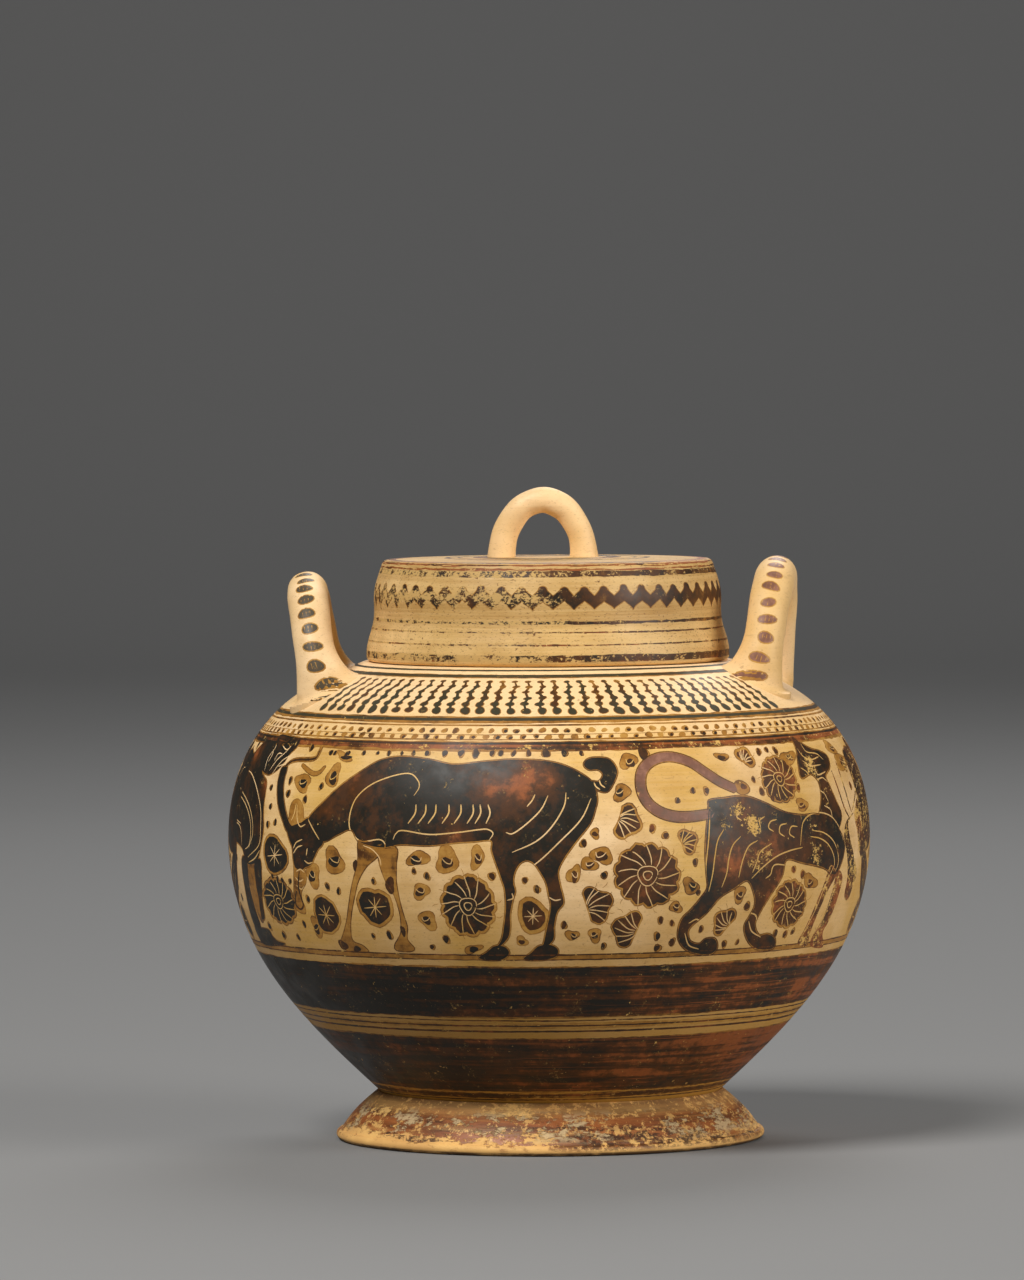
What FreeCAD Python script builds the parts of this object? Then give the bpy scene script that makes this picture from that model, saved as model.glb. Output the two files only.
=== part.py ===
"""A lidded lekanis in fired clay, as separate thrown and hand-rolled pieces.

The bowl stands on a flaring ring foot. A collar round its mouth keeps a deep cap lid in
place, two upright loop handles stand on the shoulder, and the lid has a small loop of its own.

Millimetres, +Z up. The origin is the centre of the ring on which the foot stands, and the
two side handles lie along X.
"""

import FreeCAD
import Part
import math
import os

# Foot: a separately thrown ring with a hollow flare, open underneath
foot_height = 16.6
foot_top_radius = 59.3
foot_flare_radius = 68.0
foot_flare_height = 8.6
foot_edge_radius = 73.6
foot_edge_thickness = 3.4
foot_hollow_radius = 63.5
foot_hollow_top_radius = 46.0

# Bowl: points on the outside of the wall, from the foot up to the seat of the lid
waist_radius = 58.7
low_wall_radius = 79.9
low_wall_height = 37.3
flank_radius = 102.5
flank_height = 69.0
belly_radius = 110.2
belly_height = 100.5
upper_radius = 104.9
upper_height = 130.2
shoulder_radius = 90.4
shoulder_height = 149.6
slope_radius = 77.5
slope_height = 157.7
seat_radius = 63.6
seat_height = 163.8
wall = 6.0
floor_thickness = 7.5

# Collar: the upright rim inside the lid
mouth_radius = 49.5
collar_wall = 4.5
collar_height = 22.0

# Lid: a deep cap whose side is waisted above its rim, resting just clear of its seat
lid_clearance = 0.3
lid_height = 34.6
lid_rim_radius = 62.3
lid_rim_height = 3.4
lid_rim_round = 1.4
lid_waist_radius = 59.8
lid_waist_height = 14.2
lid_brow_radius = 59.5
lid_brow_height = 23.6
lid_edge_radius = 57.0
lid_edge_round = 2.2
lid_dome = 0.8
lid_wall = 4.4

# Loop on the lid, set a little off centre by the potter
loop_half_span = 14.2
loop_rise = 20.2
loop_thickness = 8.9
loop_root_thickness = 10.0
loop_offset = -1.6

# Side handles: round rolls bent into a loop that leans outwards, with clay smoothed out
# from each root towards the lid. No two are alike, so each has its own place.
handle_half_span = 29.0
handle_thickness = 13.8
handle_root_spread = 2.4
handle_root_fillet = 8.5
left_handle_reach = 77.4
left_handle_top = 194.8
left_handle_lean_degrees = 8.5
left_handle_turn_degrees = 0.0
right_handle_reach = 74.4
right_handle_top = 199.4
right_handle_lean_degrees = 6.5
right_handle_turn_degrees = 5.5

# How far the hidden end of a handle runs into the clay before it is trimmed to the wall
root_depth = 9.0
rings_per_handle = 29

Z_AXIS = FreeCAD.Vector(0, 0, 1)
BEYOND = 1000.0


def at(radius, height):
    """A point of a profile, which lies in the XZ plane."""
    return FreeCAD.Vector(radius, 0, height)


def line(start, end):
    return Part.LineSegment(start, end).toShape()


def smooth(points):
    """One smooth curve through the points."""
    curve = Part.BSplineCurve()
    curve.interpolate(points)
    return curve


def quarter_round(start, end, corner):
    """A quarter circle from start to end that cuts off a square corner."""
    centre = start + end - corner
    middle = centre + (corner - centre) * math.cos(math.radians(45))
    return Part.Arc(start, middle, end).toShape()


def dome_arc(edge, rise):
    """The arc from an edge up to the axis, level where it crosses the axis."""
    radius = (edge.x**2 + rise**2) / (2 * rise)
    crown = at(0, edge.z + rise)
    half_turn = math.asin(edge.x / radius) / 2
    middle = at(radius * math.sin(half_turn), crown.z - radius * (1 - math.cos(half_turn)))
    return Part.Arc(edge, middle, crown).toShape(), crown


def inward(curve, distance, count=13):
    """The curve moved inwards by a distance, square to itself at every point."""
    first, last = curve.FirstParameter, curve.LastParameter
    points = []
    for i in range(count):
        parameter = first + (last - first) * i / (count - 1)
        along = curve.tangent(parameter)[0]
        square = FreeCAD.Vector(-along.z, 0, along.x)
        points.append(curve.value(parameter) + square * distance)
    return smooth(points)


def height_at(curve, radius):
    """The greatest height at which a curve reaches a radius."""
    upright = Part.LineSegment(at(radius, -BEYOND), at(radius, BEYOND))
    return max(point.Z for point in curve.intersectCC(upright))


def turned(edges):
    """The solid that a closed outline makes when it is turned once round the Z axis."""
    outline = Part.Wire(Part.__sortEdges__(edges))
    return Part.Face(outline).revolve(FreeCAD.Vector(), Z_AXIS, 360)


def one_solid(shape):
    """The largest solid of a shape, without the scraps that a cut leaves."""
    return max(shape.Solids, key=lambda solid: solid.Volume)


def bowl_outside():
    return smooth(
        [
            at(waist_radius, foot_height),
            at(low_wall_radius, low_wall_height),
            at(flank_radius, flank_height),
            at(belly_radius, belly_height),
            at(upper_radius, upper_height),
            at(shoulder_radius, shoulder_height),
            at(slope_radius, slope_height),
            at(seat_radius, seat_height),
        ]
    )


def bowl_filled():
    """The bowl with no hollow, which trims whatever is joined to its outside."""
    return turned(
        [
            bowl_outside().toShape(),
            line(at(seat_radius, seat_height), at(0, seat_height)),
            line(at(0, seat_height), at(0, foot_height)),
            line(at(0, foot_height), at(waist_radius, foot_height)),
        ]
    )


def bowl_hollow():
    """What the bowl holds, up to and through its mouth."""
    inside = inward(bowl_outside(), wall)
    floor_height = foot_height + floor_thickness
    level = Part.LineSegment(at(0, floor_height), at(belly_radius, floor_height))
    floor_edge = inside.intersectCC(level)[0]
    floor_corner = at(floor_edge.X, floor_height)
    inside.segment(inside.parameter(floor_corner), inside.LastParameter)
    start = inside.value(inside.FirstParameter)
    ceiling = inside.value(inside.LastParameter)
    lip = at(mouth_radius, ceiling.z)
    above = seat_height + wall
    return turned(
        [
            inside.toShape(),
            line(ceiling, lip),
            line(lip, at(mouth_radius, above)),
            line(at(mouth_radius, above), at(0, above)),
            line(at(0, above), at(0, floor_height)),
            line(at(0, floor_height), start),
        ]
    )


def make_bowl():
    return one_solid(bowl_filled().cut(bowl_hollow()))


def make_foot():
    top_out = at(foot_top_radius, foot_height)
    edge_round = foot_edge_thickness / 2
    edge_centre = at(foot_edge_radius - edge_round, edge_round)
    edge_top = edge_centre + at(0, edge_round)
    edge_out = edge_centre + at(edge_round, 0)
    edge_low = edge_centre - at(0, edge_round)
    flare = smooth([top_out, at(foot_flare_radius, foot_flare_height), edge_top])
    rest_in = at(foot_hollow_radius, 0)
    top_in = at(foot_hollow_top_radius, foot_height)
    return turned(
        [
            flare.toShape(),
            Part.Arc(edge_top, edge_out, edge_low).toShape(),
            line(edge_low, rest_in),
            line(rest_in, top_in),
            line(top_in, top_out),
        ]
    )


def make_collar():
    outer = mouth_radius + collar_wall
    lip_round = collar_wall / 2
    top = seat_height + collar_height
    lip_out = at(outer, top - lip_round)
    lip_top = at(mouth_radius + lip_round, top)
    lip_in = at(mouth_radius, top - lip_round)
    return turned(
        [
            line(at(mouth_radius, seat_height), at(outer, seat_height)),
            line(at(outer, seat_height), lip_out),
            Part.Arc(lip_out, lip_top, lip_in).toShape(),
            line(lip_in, at(mouth_radius, seat_height)),
        ]
    )


def lid_base():
    """The height of the lid's rim when the lid is on."""
    return seat_height + lid_clearance


def lid_side():
    """The outside of the lid's wall, from above its rim to below its top edge."""
    base = lid_base()
    return smooth(
        [
            at(lid_rim_radius, base + lid_rim_round),
            at(lid_rim_radius, base + lid_rim_height),
            at(lid_waist_radius, base + lid_waist_height),
            at(lid_brow_radius, base + lid_brow_height),
            at(lid_edge_radius, base + lid_height - lid_edge_round),
        ]
    )


def lid_filled():
    """The lid with no hollow, which also trims the loop on top of it."""
    base = lid_base()
    side = lid_side()
    side_low = side.value(side.FirstParameter)
    side_top = side.value(side.LastParameter)
    edge = at(lid_edge_radius - lid_edge_round, base + lid_height)
    top, crown = dome_arc(edge, lid_dome)
    rim_low = at(lid_rim_radius - lid_rim_round, base)
    return turned(
        [
            side.toShape(),
            quarter_round(side_top, edge, at(side_top.x, edge.z)),
            top,
            line(crown, at(0, base)),
            line(at(0, base), rim_low),
            quarter_round(rim_low, side_low, at(side_low.x, base)),
        ]
    )


def lid_hollow():
    base = lid_base()
    inside = inward(lid_side(), lid_wall, 9)
    low = inside.value(inside.FirstParameter)
    high = inside.value(inside.LastParameter)
    corner = at(high.x - lid_edge_round, base + lid_height - lid_wall)
    ceiling, crown = dome_arc(corner, lid_dome)
    below = base - lid_rim_round
    return turned(
        [
            inside.toShape(),
            line(high, corner),
            ceiling,
            line(crown, at(0, below)),
            line(at(0, below), at(low.x, below)),
            line(at(low.x, below), low),
        ]
    )


def make_lid():
    return one_solid(lid_filled().cut(lid_hollow()))


def bent_roll(place, half_span, rise, thickness, root_thickness, fillet):
    """A roll of clay bent into an arch whose two ends run on downwards.

    place turns a point across, up and outwards of the arch into a point of the part.
    Towards each end the roll grows from thickness to root_thickness, and on its inner side
    it spreads by fillet more.
    """
    arch_share = 0.76
    step = 0.001

    def centre(travel):
        """The middle of the roll, where travel runs from -1 at one end to 1 at the other."""
        if abs(travel) <= arch_share:
            turn = travel / arch_share * math.pi / 2
            return half_span * math.sin(turn), rise * math.cos(turn)
        below = (abs(travel) - arch_share) / (1 - arch_share)
        return math.copysign(half_span, travel), -root_depth * below

    rings = []
    for i in range(rings_per_handle):
        travel = 2 * i / (rings_per_handle - 1) - 1
        across, up = centre(travel)
        near_root = max(0.0, 1 - max(up, 0) / (rise * 0.5)) ** 2.2
        half = (thickness + (root_thickness - thickness) * near_root) / 2
        spread = fillet * near_root / 2
        before = place(*centre(travel - step), -spread)
        after = place(*centre(travel + step), -spread)
        middle = place(across, up, -spread)
        inner = place(across, up, -spread - half - spread - step)
        square = (after - before).cross(inner - middle).normalize()
        ellipse = Part.Ellipse(inner, middle + square * half, middle)
        rings.append(Part.Wire(ellipse.toShape()))
    return Part.makeLoft(rings, True, False)


def make_side_handle(side, reach, top, lean_degrees, turn_degrees):
    """side is 1 for the handle on +X and -1 for the one on -X."""
    root_radius = math.hypot(reach, handle_half_span)
    root_height = height_at(bowl_outside(), root_radius)
    lean = math.radians(lean_degrees)
    turn = math.radians(turn_degrees)
    rise = (top - handle_thickness / 2 - root_height) / math.cos(lean)

    def place(across, up, outwards):
        out = outwards * math.cos(lean) + up * math.sin(lean)
        height = up * math.cos(lean) - outwards * math.sin(lean)
        return FreeCAD.Vector(
            side * (reach + out * math.cos(turn) + across * math.sin(turn)),
            across * math.cos(turn) - out * math.sin(turn),
            root_height + height,
        )

    root_thickness = handle_thickness + handle_root_spread
    roll = bent_roll(
        place, handle_half_span, rise, handle_thickness, root_thickness, handle_root_fillet
    )
    return one_solid(roll.cut(bowl_filled()))


def make_lid_loop():
    top = lid_base() + lid_height

    def place(across, up, outwards):
        return FreeCAD.Vector(loop_offset + across, outwards, top + up)

    roll = bent_roll(
        place, loop_half_span, loop_rise, loop_thickness, loop_root_thickness, 0.0
    )
    return one_solid(roll.cut(lid_filled()))


def main():
    pieces = {
        "bowl": make_bowl(),
        "foot": make_foot(),
        "collar": make_collar(),
        "left_handle": make_side_handle(
            -1,
            left_handle_reach,
            left_handle_top,
            left_handle_lean_degrees,
            left_handle_turn_degrees,
        ),
        "right_handle": make_side_handle(
            1,
            right_handle_reach,
            right_handle_top,
            right_handle_lean_degrees,
            right_handle_turn_degrees,
        ),
        "lid": make_lid(),
        "lid_loop": make_lid_loop(),
    }
    os.makedirs("parts", exist_ok=True)
    for name, shape in pieces.items():
        if not shape.isValid():
            raise ValueError(f"{name} is not a valid solid")
        shape.exportStep(f"parts/{name}.step")
        box = shape.optimalBoundingBox()
        print(
            f"{name}: {shape.Volume / 1000:.1f} cm3,",
            f"x {box.XMin:.1f} to {box.XMax:.1f},",
            f"y {box.YMin:.1f} to {box.YMax:.1f},",
            f"z {box.ZMin:.1f} to {box.ZMax:.1f}",
        )


main()
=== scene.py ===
"""A lidded lekanis: thrown clay, dilute and black slip, and incised animals round its frame.

The pieces stand in the frame's own place, in metres. Sizes inside the script are millimetres,
turned into metres where a mesh is made. Angles run round the wall from the front, and grow
towards the right handle.
"""

import functools
import math

import bmesh
import bpy
import numpy as np
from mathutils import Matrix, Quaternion, Vector
from mathutils.geometry import delaunay_2d_cdt


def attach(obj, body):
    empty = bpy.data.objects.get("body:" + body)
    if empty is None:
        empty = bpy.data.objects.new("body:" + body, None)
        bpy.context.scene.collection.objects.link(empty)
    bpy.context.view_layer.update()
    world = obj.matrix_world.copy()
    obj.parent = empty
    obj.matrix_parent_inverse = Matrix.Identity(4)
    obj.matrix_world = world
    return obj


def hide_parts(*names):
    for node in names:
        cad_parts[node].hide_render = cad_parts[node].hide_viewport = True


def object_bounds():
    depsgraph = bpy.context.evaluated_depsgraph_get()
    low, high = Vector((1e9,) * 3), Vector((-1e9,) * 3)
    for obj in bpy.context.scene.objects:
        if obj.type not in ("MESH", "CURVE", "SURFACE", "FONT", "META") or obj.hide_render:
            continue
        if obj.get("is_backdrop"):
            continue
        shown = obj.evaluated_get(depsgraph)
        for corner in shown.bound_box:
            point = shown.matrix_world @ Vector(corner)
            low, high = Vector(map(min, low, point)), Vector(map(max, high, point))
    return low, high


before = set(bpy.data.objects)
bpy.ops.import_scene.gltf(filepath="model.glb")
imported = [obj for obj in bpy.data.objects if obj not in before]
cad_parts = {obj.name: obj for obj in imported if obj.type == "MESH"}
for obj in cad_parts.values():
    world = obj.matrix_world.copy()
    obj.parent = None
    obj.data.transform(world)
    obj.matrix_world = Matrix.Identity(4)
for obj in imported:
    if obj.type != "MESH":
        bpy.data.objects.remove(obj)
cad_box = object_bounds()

bl_info = {
    "name": "Lidded Lekanis",
    "version": (1, 0, 0),
    "blender": (4, 5, 0),
    "location": "3D View > Sidebar > Lekanis",
    "description": "Builds the clay, the painted slip and the incised animals of a lidded lekanis",
    "category": "Object",
}

MM = 0.001

# Bowl: points of radius and height on its outside, from the foot up to the seat of the lid
BOWL_OUTSIDE = [
    (58.7, 16.6),
    (79.9, 37.3),
    (102.5, 69.0),
    (110.2, 100.5),
    (104.9, 130.2),
    (90.4, 149.6),
    (77.5, 157.7),
    (63.6, 163.8),
]
BELLY_RADIUS = 110.2
SHOULDER_START = 120.0
WALL = 6.0
FLOOR_THICKNESS = 7.5
FLOOR_RING = 30
SEAT_HEIGHT = 163.8

# Collar: the upright rim inside the lid
MOUTH_RADIUS = 49.5
COLLAR_WALL = 4.5
COLLAR_HEIGHT = 22.0

# Foot
FOOT_HEIGHT = 16.6
FOOT_FLARE = [(59.3, 16.6), (68.0, 8.6), (71.9, 3.4)]
FOOT_EDGE_THICKNESS = 3.4
FOOT_HOLLOW_RADIUS = 63.5
FOOT_HOLLOW_TOP_RADIUS = 46.0

# Lid: points on its side, measured up from its rim
LID_BASE = 164.1
LID_HEIGHT = 34.6
LID_SIDE = [(62.3, 1.4), (62.3, 3.4), (59.8, 14.2), (59.5, 23.6), (57.0, 32.4)]
LID_RIM_ROUND = 1.4
LID_EDGE_ROUND = 2.2
LID_DOME = 0.8
LID_WALL = 4.4
CEILING_RING = 20
CEILING_RING_SHARE = 0.87

# Side handles and the lid's loop
HANDLE_HALF_SPAN = 29.0
HANDLE_ROOT_DEPTH = 9.0
HANDLE_ARCH_SHARE = 0.76
HANDLE_THICKNESS = 13.8
HANDLE_ROOT_SPREAD = 2.4
HANDLE_FILLET = 8.5
HANDLE_LEGS_OUT = 76.0
HANDLE_LUTING_ROUND = 3.2
LOOP_ACROSS = -1.6
LOOP_HALF_SPAN = 14.2
LOOP_RISE = 20.2
LOOP_THICKNESS = 8.9
LOOP_ROOT_THICKNESS = 10.0

# Each side handle: its reach from the axis, the height of its top, and its lean and turn in degrees
LEFT_HANDLE = (77.4, 194.8, 8.5, 0.0)
RIGHT_HANDLE = (74.4, 199.4, 6.5, 5.5)

# Where smooth shading ends: at corners sharper than this, in degrees
THROWN_SHARP = 35
ROLLED_SHARP = 50

# Sheen of the clay and of the slip, how deep their relief is, and the heights between which the
# foot's slip covers it well
CLAY_SPECULAR = 0.30
SLIP_SPECULAR = 0.32
SLIP_BUMP = 0.05
FOOT_BUMP = 0.30
FOOT_BARE_BELOW = 1.6
FOOT_BARE_ABOVE = 13.0

# How far painted films stand off the clay: most of them, thin lines, halos and scratches. All of
# them reach equally deep into it.
FILM_LIFT = 0.05
LINE = 0.04
HALO = 0.03
HAIR = 0.025
FILM_DEPTH = 0.3

# Steps between the points of a painted band: round the wall, and across the band's two ends
RING_STEP = 2.2
SEAM_STEP = 2.5

# How much higher the painted bands stand at the right handle than at the front
PAINT_LEAN = 0.45

# Bowl: bands as two heights, lines as the height of the middle and the width
BLACK_BAND = (48.3, 65.5)
FOOT_BAND = (21.1, 40.2)
GROUND_WASH = [(69.15, 1.7)]
GROUND_LINES = [(69.95, 0.45), (68.3, 0.35)]
LOWER_LINES = [(46.9, 0.45), (45.0, 0.7), (43.0, 0.8), (19.5, 0.9), (17.9, 0.5)]
# The wash at 19.4 mm is dark, above the foot and under the belly: partly brown slip, partly painted shade
LOWER_WASH_AND_SHADE = [(45.0, 2.4), (19.4, 2.6)]
FRIEZE_BOTTOM = 70.5

# Shoulder: the same, with distances up the bowl's outline in place of heights
FRIEZE_TOP = 139.6
FRIEZE_TOP_BAND = (140.9, 143.2)
FRIEZE_TOP_LINE = [(143.3, 0.9)]
SHOULDER_LINES = [(184.6, 1.2), (180.2, 2.0), (153.6, 1.3)]
SHOULDER_FRINGES = [(180.0, 2.7), (153.4, 3.1), (142.2, 4.0)]
SHOULDER_THIN_LINES = [(150.9, 0.7), (144.9, 0.6), (146.9, 0.25)]
DOT_ROWS = (148.6, 146.0)
DOTS_PER_ROW = 145
DOT_TURN = -0.5
STROKE_LEVELS = (157.6, 175.8)
STROKES = 108
BEADS = 6
BEAD_POINTS = 12

# Round each side handle the shoulder has no strokes: its legs stand so many degrees from the
# middle of the side, and the strokes begin so many degrees past them
LEG_ANGLE = math.degrees(math.atan2(HANDLE_HALF_SPAN, 77))
BARE_PAST_LEGS = 9

# Lid: lines as the height above its rim and the width
ZIGZAG_HEIGHT = 23.2
ZIGZAG_PERIODS = 53
ZIGZAG_START = 5.4
LID_STRIPES = [(31.0, 2.0), (14.6, 1.0), (2.8, 2.0)]
LID_THIN_LINES = [(11.4, 0.5), (7.2, 0.55), (1.7, 0.5)]

# Rings on the lid's top: distances past its edge, and radii, each with a width
LID_EDGE = 32.3
LID_EDGE_RINGS = [(0.2, 0.6), (1.8, 0.8), (4.6, 3.6)]
LID_TOP_RINGS = [(34, 1.6), (30, 0.8), (22.5, 5.0)]

# Bars across each side handle, and the share of its length that they stand on
HANDLE_BARS = 21
HANDLE_BARS_SPREAD = 1.62

# Where the back of the frieze begins and ends, in degrees from the front, and its fillers, laid
# in this order: kind, least size, greatest size and gap
BACK_FRIEZE = (80, 281)
BACK_FILLERS = [
    ("rosette", 7.2, 10.5, 0.9),
    ("fan or star", 4.4, 6.2, 0.9),
    ("dab", 2.3, 3.3, 0.9),
    ("dot", 1.0, 1.35, 1.0),
]


def linear(red, green, blue):
    """A colour given as it is seen, from 0 to 255, in the linear values that a shader takes."""

    def channel(value):
        share = value / 255
        return share / 12.92 if share <= 0.04045 else ((share + 0.055) / 1.055) ** 2.4

    return channel(red), channel(green), channel(blue)


# Outlines that are turned, rolled or painted


class Profile:
    """A smooth outline through points of radius and height, measured along its length."""

    def __init__(self, points, per_span=60):
        points = np.array(points, float)
        spans = np.hypot(*np.diff(points, axis=0).T)
        count = len(points)
        system = np.zeros((count, count))
        right = np.zeros((count, 2))
        system[0, :2] = 2, 1
        system[-1, -2:] = 1, 2
        right[0] = 3 * (points[1] - points[0]) / spans[0]
        right[-1] = 3 * (points[-1] - points[-2]) / spans[-1]
        for i in range(1, count - 1):
            before, after = spans[i - 1], spans[i]
            system[i, i - 1 : i + 2] = after, 2 * (before + after), before
            right[i] = 3 * after * (points[i] - points[i - 1]) / before
            right[i] += 3 * before * (points[i + 1] - points[i]) / after
        slopes = np.linalg.solve(system, right)
        pieces = []
        share = np.linspace(0, 1, per_span, endpoint=False)[:, None]
        for i, span in enumerate(spans):
            pieces.append(
                (2 * share**3 - 3 * share**2 + 1) * points[i]
                + (share**3 - 2 * share**2 + share) * span * slopes[i]
                + (3 * share**2 - 2 * share**3) * points[i + 1]
                + (share**3 - share**2) * span * slopes[i + 1]
            )
        self.set_line(np.concatenate(pieces + [points[-1:]]))

    def set_line(self, line):
        self.line = line
        steps = np.hypot(*np.diff(line, axis=0).T)
        self.lengths = np.concatenate([[0], np.cumsum(steps)])
        self.length = self.lengths[-1]
        along = np.gradient(line, axis=0)
        along /= np.hypot(*along.T)[:, None]
        self.outward = np.stack([along[:, 1], -along[:, 0]], 1)

    def extended(self, points):
        """The same outline run on through more points, in straight runs."""
        joined = Profile.__new__(Profile)
        joined.set_line(np.concatenate([self.line, np.array(points, float)]))
        return joined

    def at(self, length, lift=0.0):
        radius, height, out, up = (
            np.interp(length, self.lengths, column)
            for column in (*self.line.T, *self.outward.T)
        )
        return radius + out * lift, height + up * lift

    def facing(self, length):
        return tuple(np.interp(length, self.lengths, column) for column in self.outward.T)

    def length_at_height(self, height):
        return np.interp(height, self.line[:, 1], self.lengths)

    def moved_in(self, distance, count):
        """Points of the outline moved inwards, square to itself."""
        lengths = np.linspace(0, self.length, count)
        return np.stack(self.at(lengths, -distance), 1)


def arc(centre, radius, start_degrees, end_degrees, count):
    """Points on an arc in the plane of radius and height."""
    turn = np.radians(np.linspace(start_degrees, end_degrees, count))
    return np.stack([centre[0] + radius * np.cos(turn), centre[1] + radius * np.sin(turn)], 1)


def waver(angle, height):
    """How far the hand-thrown wall stands out or in at a place, in millimetres."""
    slow = 0.10 * np.sin(2 * angle + 0.6 + height * 0.011)
    quick = 0.05 * np.sin(3 * angle - 1.1 - height * 0.023)
    return slow + quick + 0.03 * np.sin(5 * angle + height * 0.05)


def turned_points(angle, radius, height):
    """Places on a turned wall, where angle 0 is the front."""
    radius = radius + waver(angle, height)
    return np.stack([radius * np.sin(angle), -radius * np.cos(angle), height], -1)


bowl_wall = Profile(BOWL_OUTSIDE)
bowl_level = bowl_wall.length_at_height


def shoulder_height(radius):
    """How high the bowl's outside stands at a radius of its shoulder."""
    shoulder = bowl_wall.line[bowl_wall.line[:, 1] > SHOULDER_START]
    return np.interp(-radius, -shoulder[:, 0], shoulder[:, 1])


def lid_side(per_span):
    return Profile([(radius, LID_BASE + height) for radius, height in LID_SIDE], per_span)


def lid_outline():
    side = lid_side(30)
    top = LID_BASE + LID_HEIGHT
    edge_radius = LID_SIDE[-1][0]
    round_centre = (edge_radius - LID_EDGE_ROUND, top - LID_EDGE_ROUND)
    shoulder = arc(round_centre, LID_EDGE_ROUND, 0, 90, 8)[1:]
    rim = shoulder[-1][0]
    across = np.linspace(rim, 0.4, 30)[1:]
    dome = np.stack([across, top + LID_DOME * (1 - (across / rim) ** 2)], 1)
    return side.extended(np.concatenate([shoulder, dome]))


lid_wall = lid_outline()


def lid_level(height):
    """The distance up the lid's outline at a height above its rim."""
    return lid_wall.length_at_height(LID_BASE + height)


# Meshes


def deselect():
    for thing in bpy.context.selected_objects:
        thing.select_set(False)


def make_active(piece):
    deselect()
    piece.select_set(True)
    bpy.context.view_layer.objects.active = piece


def smooth_outwards(sharp_degrees):
    """Turns the active piece's faces outwards, and shades them smooth except at sharp corners."""
    bpy.ops.object.mode_set(mode="EDIT")
    bpy.ops.mesh.select_all(action="SELECT")
    bpy.ops.mesh.normals_make_consistent(inside=False)
    bpy.ops.object.mode_set(mode="OBJECT")
    bpy.ops.object.shade_smooth_by_angle(angle=math.radians(sharp_degrees))


def link(name, data):
    piece = bpy.data.objects.new(name, data)
    bpy.context.scene.collection.objects.link(piece)
    return piece


def settle(piece, body, slot, material):
    """Gives a finished piece its finish, and the body that it moves with."""
    piece.data.materials.append(material)
    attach(piece, body)


def thrown(name, half_outline, steps):
    """A piece turned on the wheel: its half outline is spun once round and closed."""
    mesh = bpy.data.meshes.new(name)
    points = [(radius * MM, 0, height * MM) for radius, height in half_outline]
    edges = [(i, i + 1) for i in range(len(points) - 1)]
    if half_outline[0][0] > 0:
        edges.append((len(points) - 1, 0))
    mesh.from_pydata(points, edges, [])
    piece = link(name, mesh)
    make_active(piece)
    turn = piece.modifiers.new("Wheel", "SCREW")
    turn.steps = steps
    turn.render_steps = steps
    turn.use_merge_vertices = True
    turn.merge_threshold = 2e-6
    bpy.ops.object.modifier_apply(modifier=turn.name)
    mesh = piece.data
    place = np.zeros(len(mesh.vertices) * 3)
    mesh.vertices.foreach_get("co", place)
    place = place.reshape(-1, 3) / MM
    radius = np.hypot(place[:, 0], place[:, 1])
    angle = np.arctan2(place[:, 0], -place[:, 1])
    moved = turned_points(angle, radius, place[:, 2])
    near_axis = radius < 2.0
    moved[near_axis] = place[near_axis]
    mesh.vertices.foreach_set("co", (moved * MM).ravel())
    mesh.update()
    smooth_outwards(THROWN_SHARP)
    return piece


def bent_roll(half_span, rise, travel):
    """The middle of a bent roll of clay: across, up, and the direction square to it."""
    turn = np.clip(travel / HANDLE_ARCH_SHARE, -1, 1) * math.pi / 2
    across = half_span * np.sin(turn)
    up = rise * np.cos(turn)
    below = np.clip((np.abs(travel) - HANDLE_ARCH_SHARE) / (1 - HANDLE_ARCH_SHARE), 0, 1)
    straight = np.abs(travel) >= HANDLE_ARCH_SHARE
    up = np.where(straight, -HANDLE_ROOT_DEPTH * below, up)
    run_across = np.where(straight, 0, half_span * np.cos(turn))
    run_up = np.where(straight, -np.sign(travel), -rise * np.sin(turn))
    size = np.hypot(run_across, run_up)
    return across, up, -run_up / size, run_across / size


class Roll:
    """A roll of clay bent into an arch, which swells and spreads inwards at its two ends."""

    def __init__(self, half_span, rise, thickness, root_thickness, fillet, place):
        self.half_span = half_span
        self.rise = rise
        self.thickness = thickness
        self.root_thickness = root_thickness
        self.fillet = fillet
        self.place = place

    def at(self, travel, turn, lift=0.0):
        """A place on the skin: travel from -1 to 1 along the roll, turn round it from outside."""
        across, up, square_across, square_up = bent_roll(self.half_span, self.rise, travel)
        near_root = np.clip(1 - np.maximum(up, 0) / (self.rise * 0.5), 0, 1) ** 2.2
        half = (self.thickness + (self.root_thickness - self.thickness) * near_root) / 2 + lift
        spread = self.fillet * near_root / 2
        half = half + 0.10 * np.sin(9 * travel + 2 * turn) + 0.07 * np.sin(23 * travel - turn + 1.3)
        aside = half * np.cos(turn)
        across = across + aside * square_across
        up = up + aside * square_up
        outwards = -spread + (half + spread) * np.sin(turn)
        place = self.place(across, up, outwards)
        return luted(place) if self.fillet else place


def side_roll(side, reach, top, lean_degrees, turn_degrees):
    """A side handle on the left, at side -1, or on the right, at side 1."""
    lean = math.radians(lean_degrees)
    turn = math.radians(turn_degrees)
    root_height = shoulder_height(math.hypot(reach, HANDLE_HALF_SPAN))
    rise = (top - HANDLE_THICKNESS / 2 - root_height) / math.cos(lean)

    def place(across, up, outwards):
        out = outwards * math.cos(lean) + up * math.sin(lean)
        height = up * math.cos(lean) - outwards * math.sin(lean)
        return np.stack(
            [
                side * (reach + out * math.cos(turn) + across * math.sin(turn)),
                across * math.cos(turn) - out * math.sin(turn),
                root_height + height,
            ],
            -1,
        )

    root_thickness = HANDLE_THICKNESS + HANDLE_ROOT_SPREAD
    return Roll(HANDLE_HALF_SPAN, rise, HANDLE_THICKNESS, root_thickness, HANDLE_FILLET, place)


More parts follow.
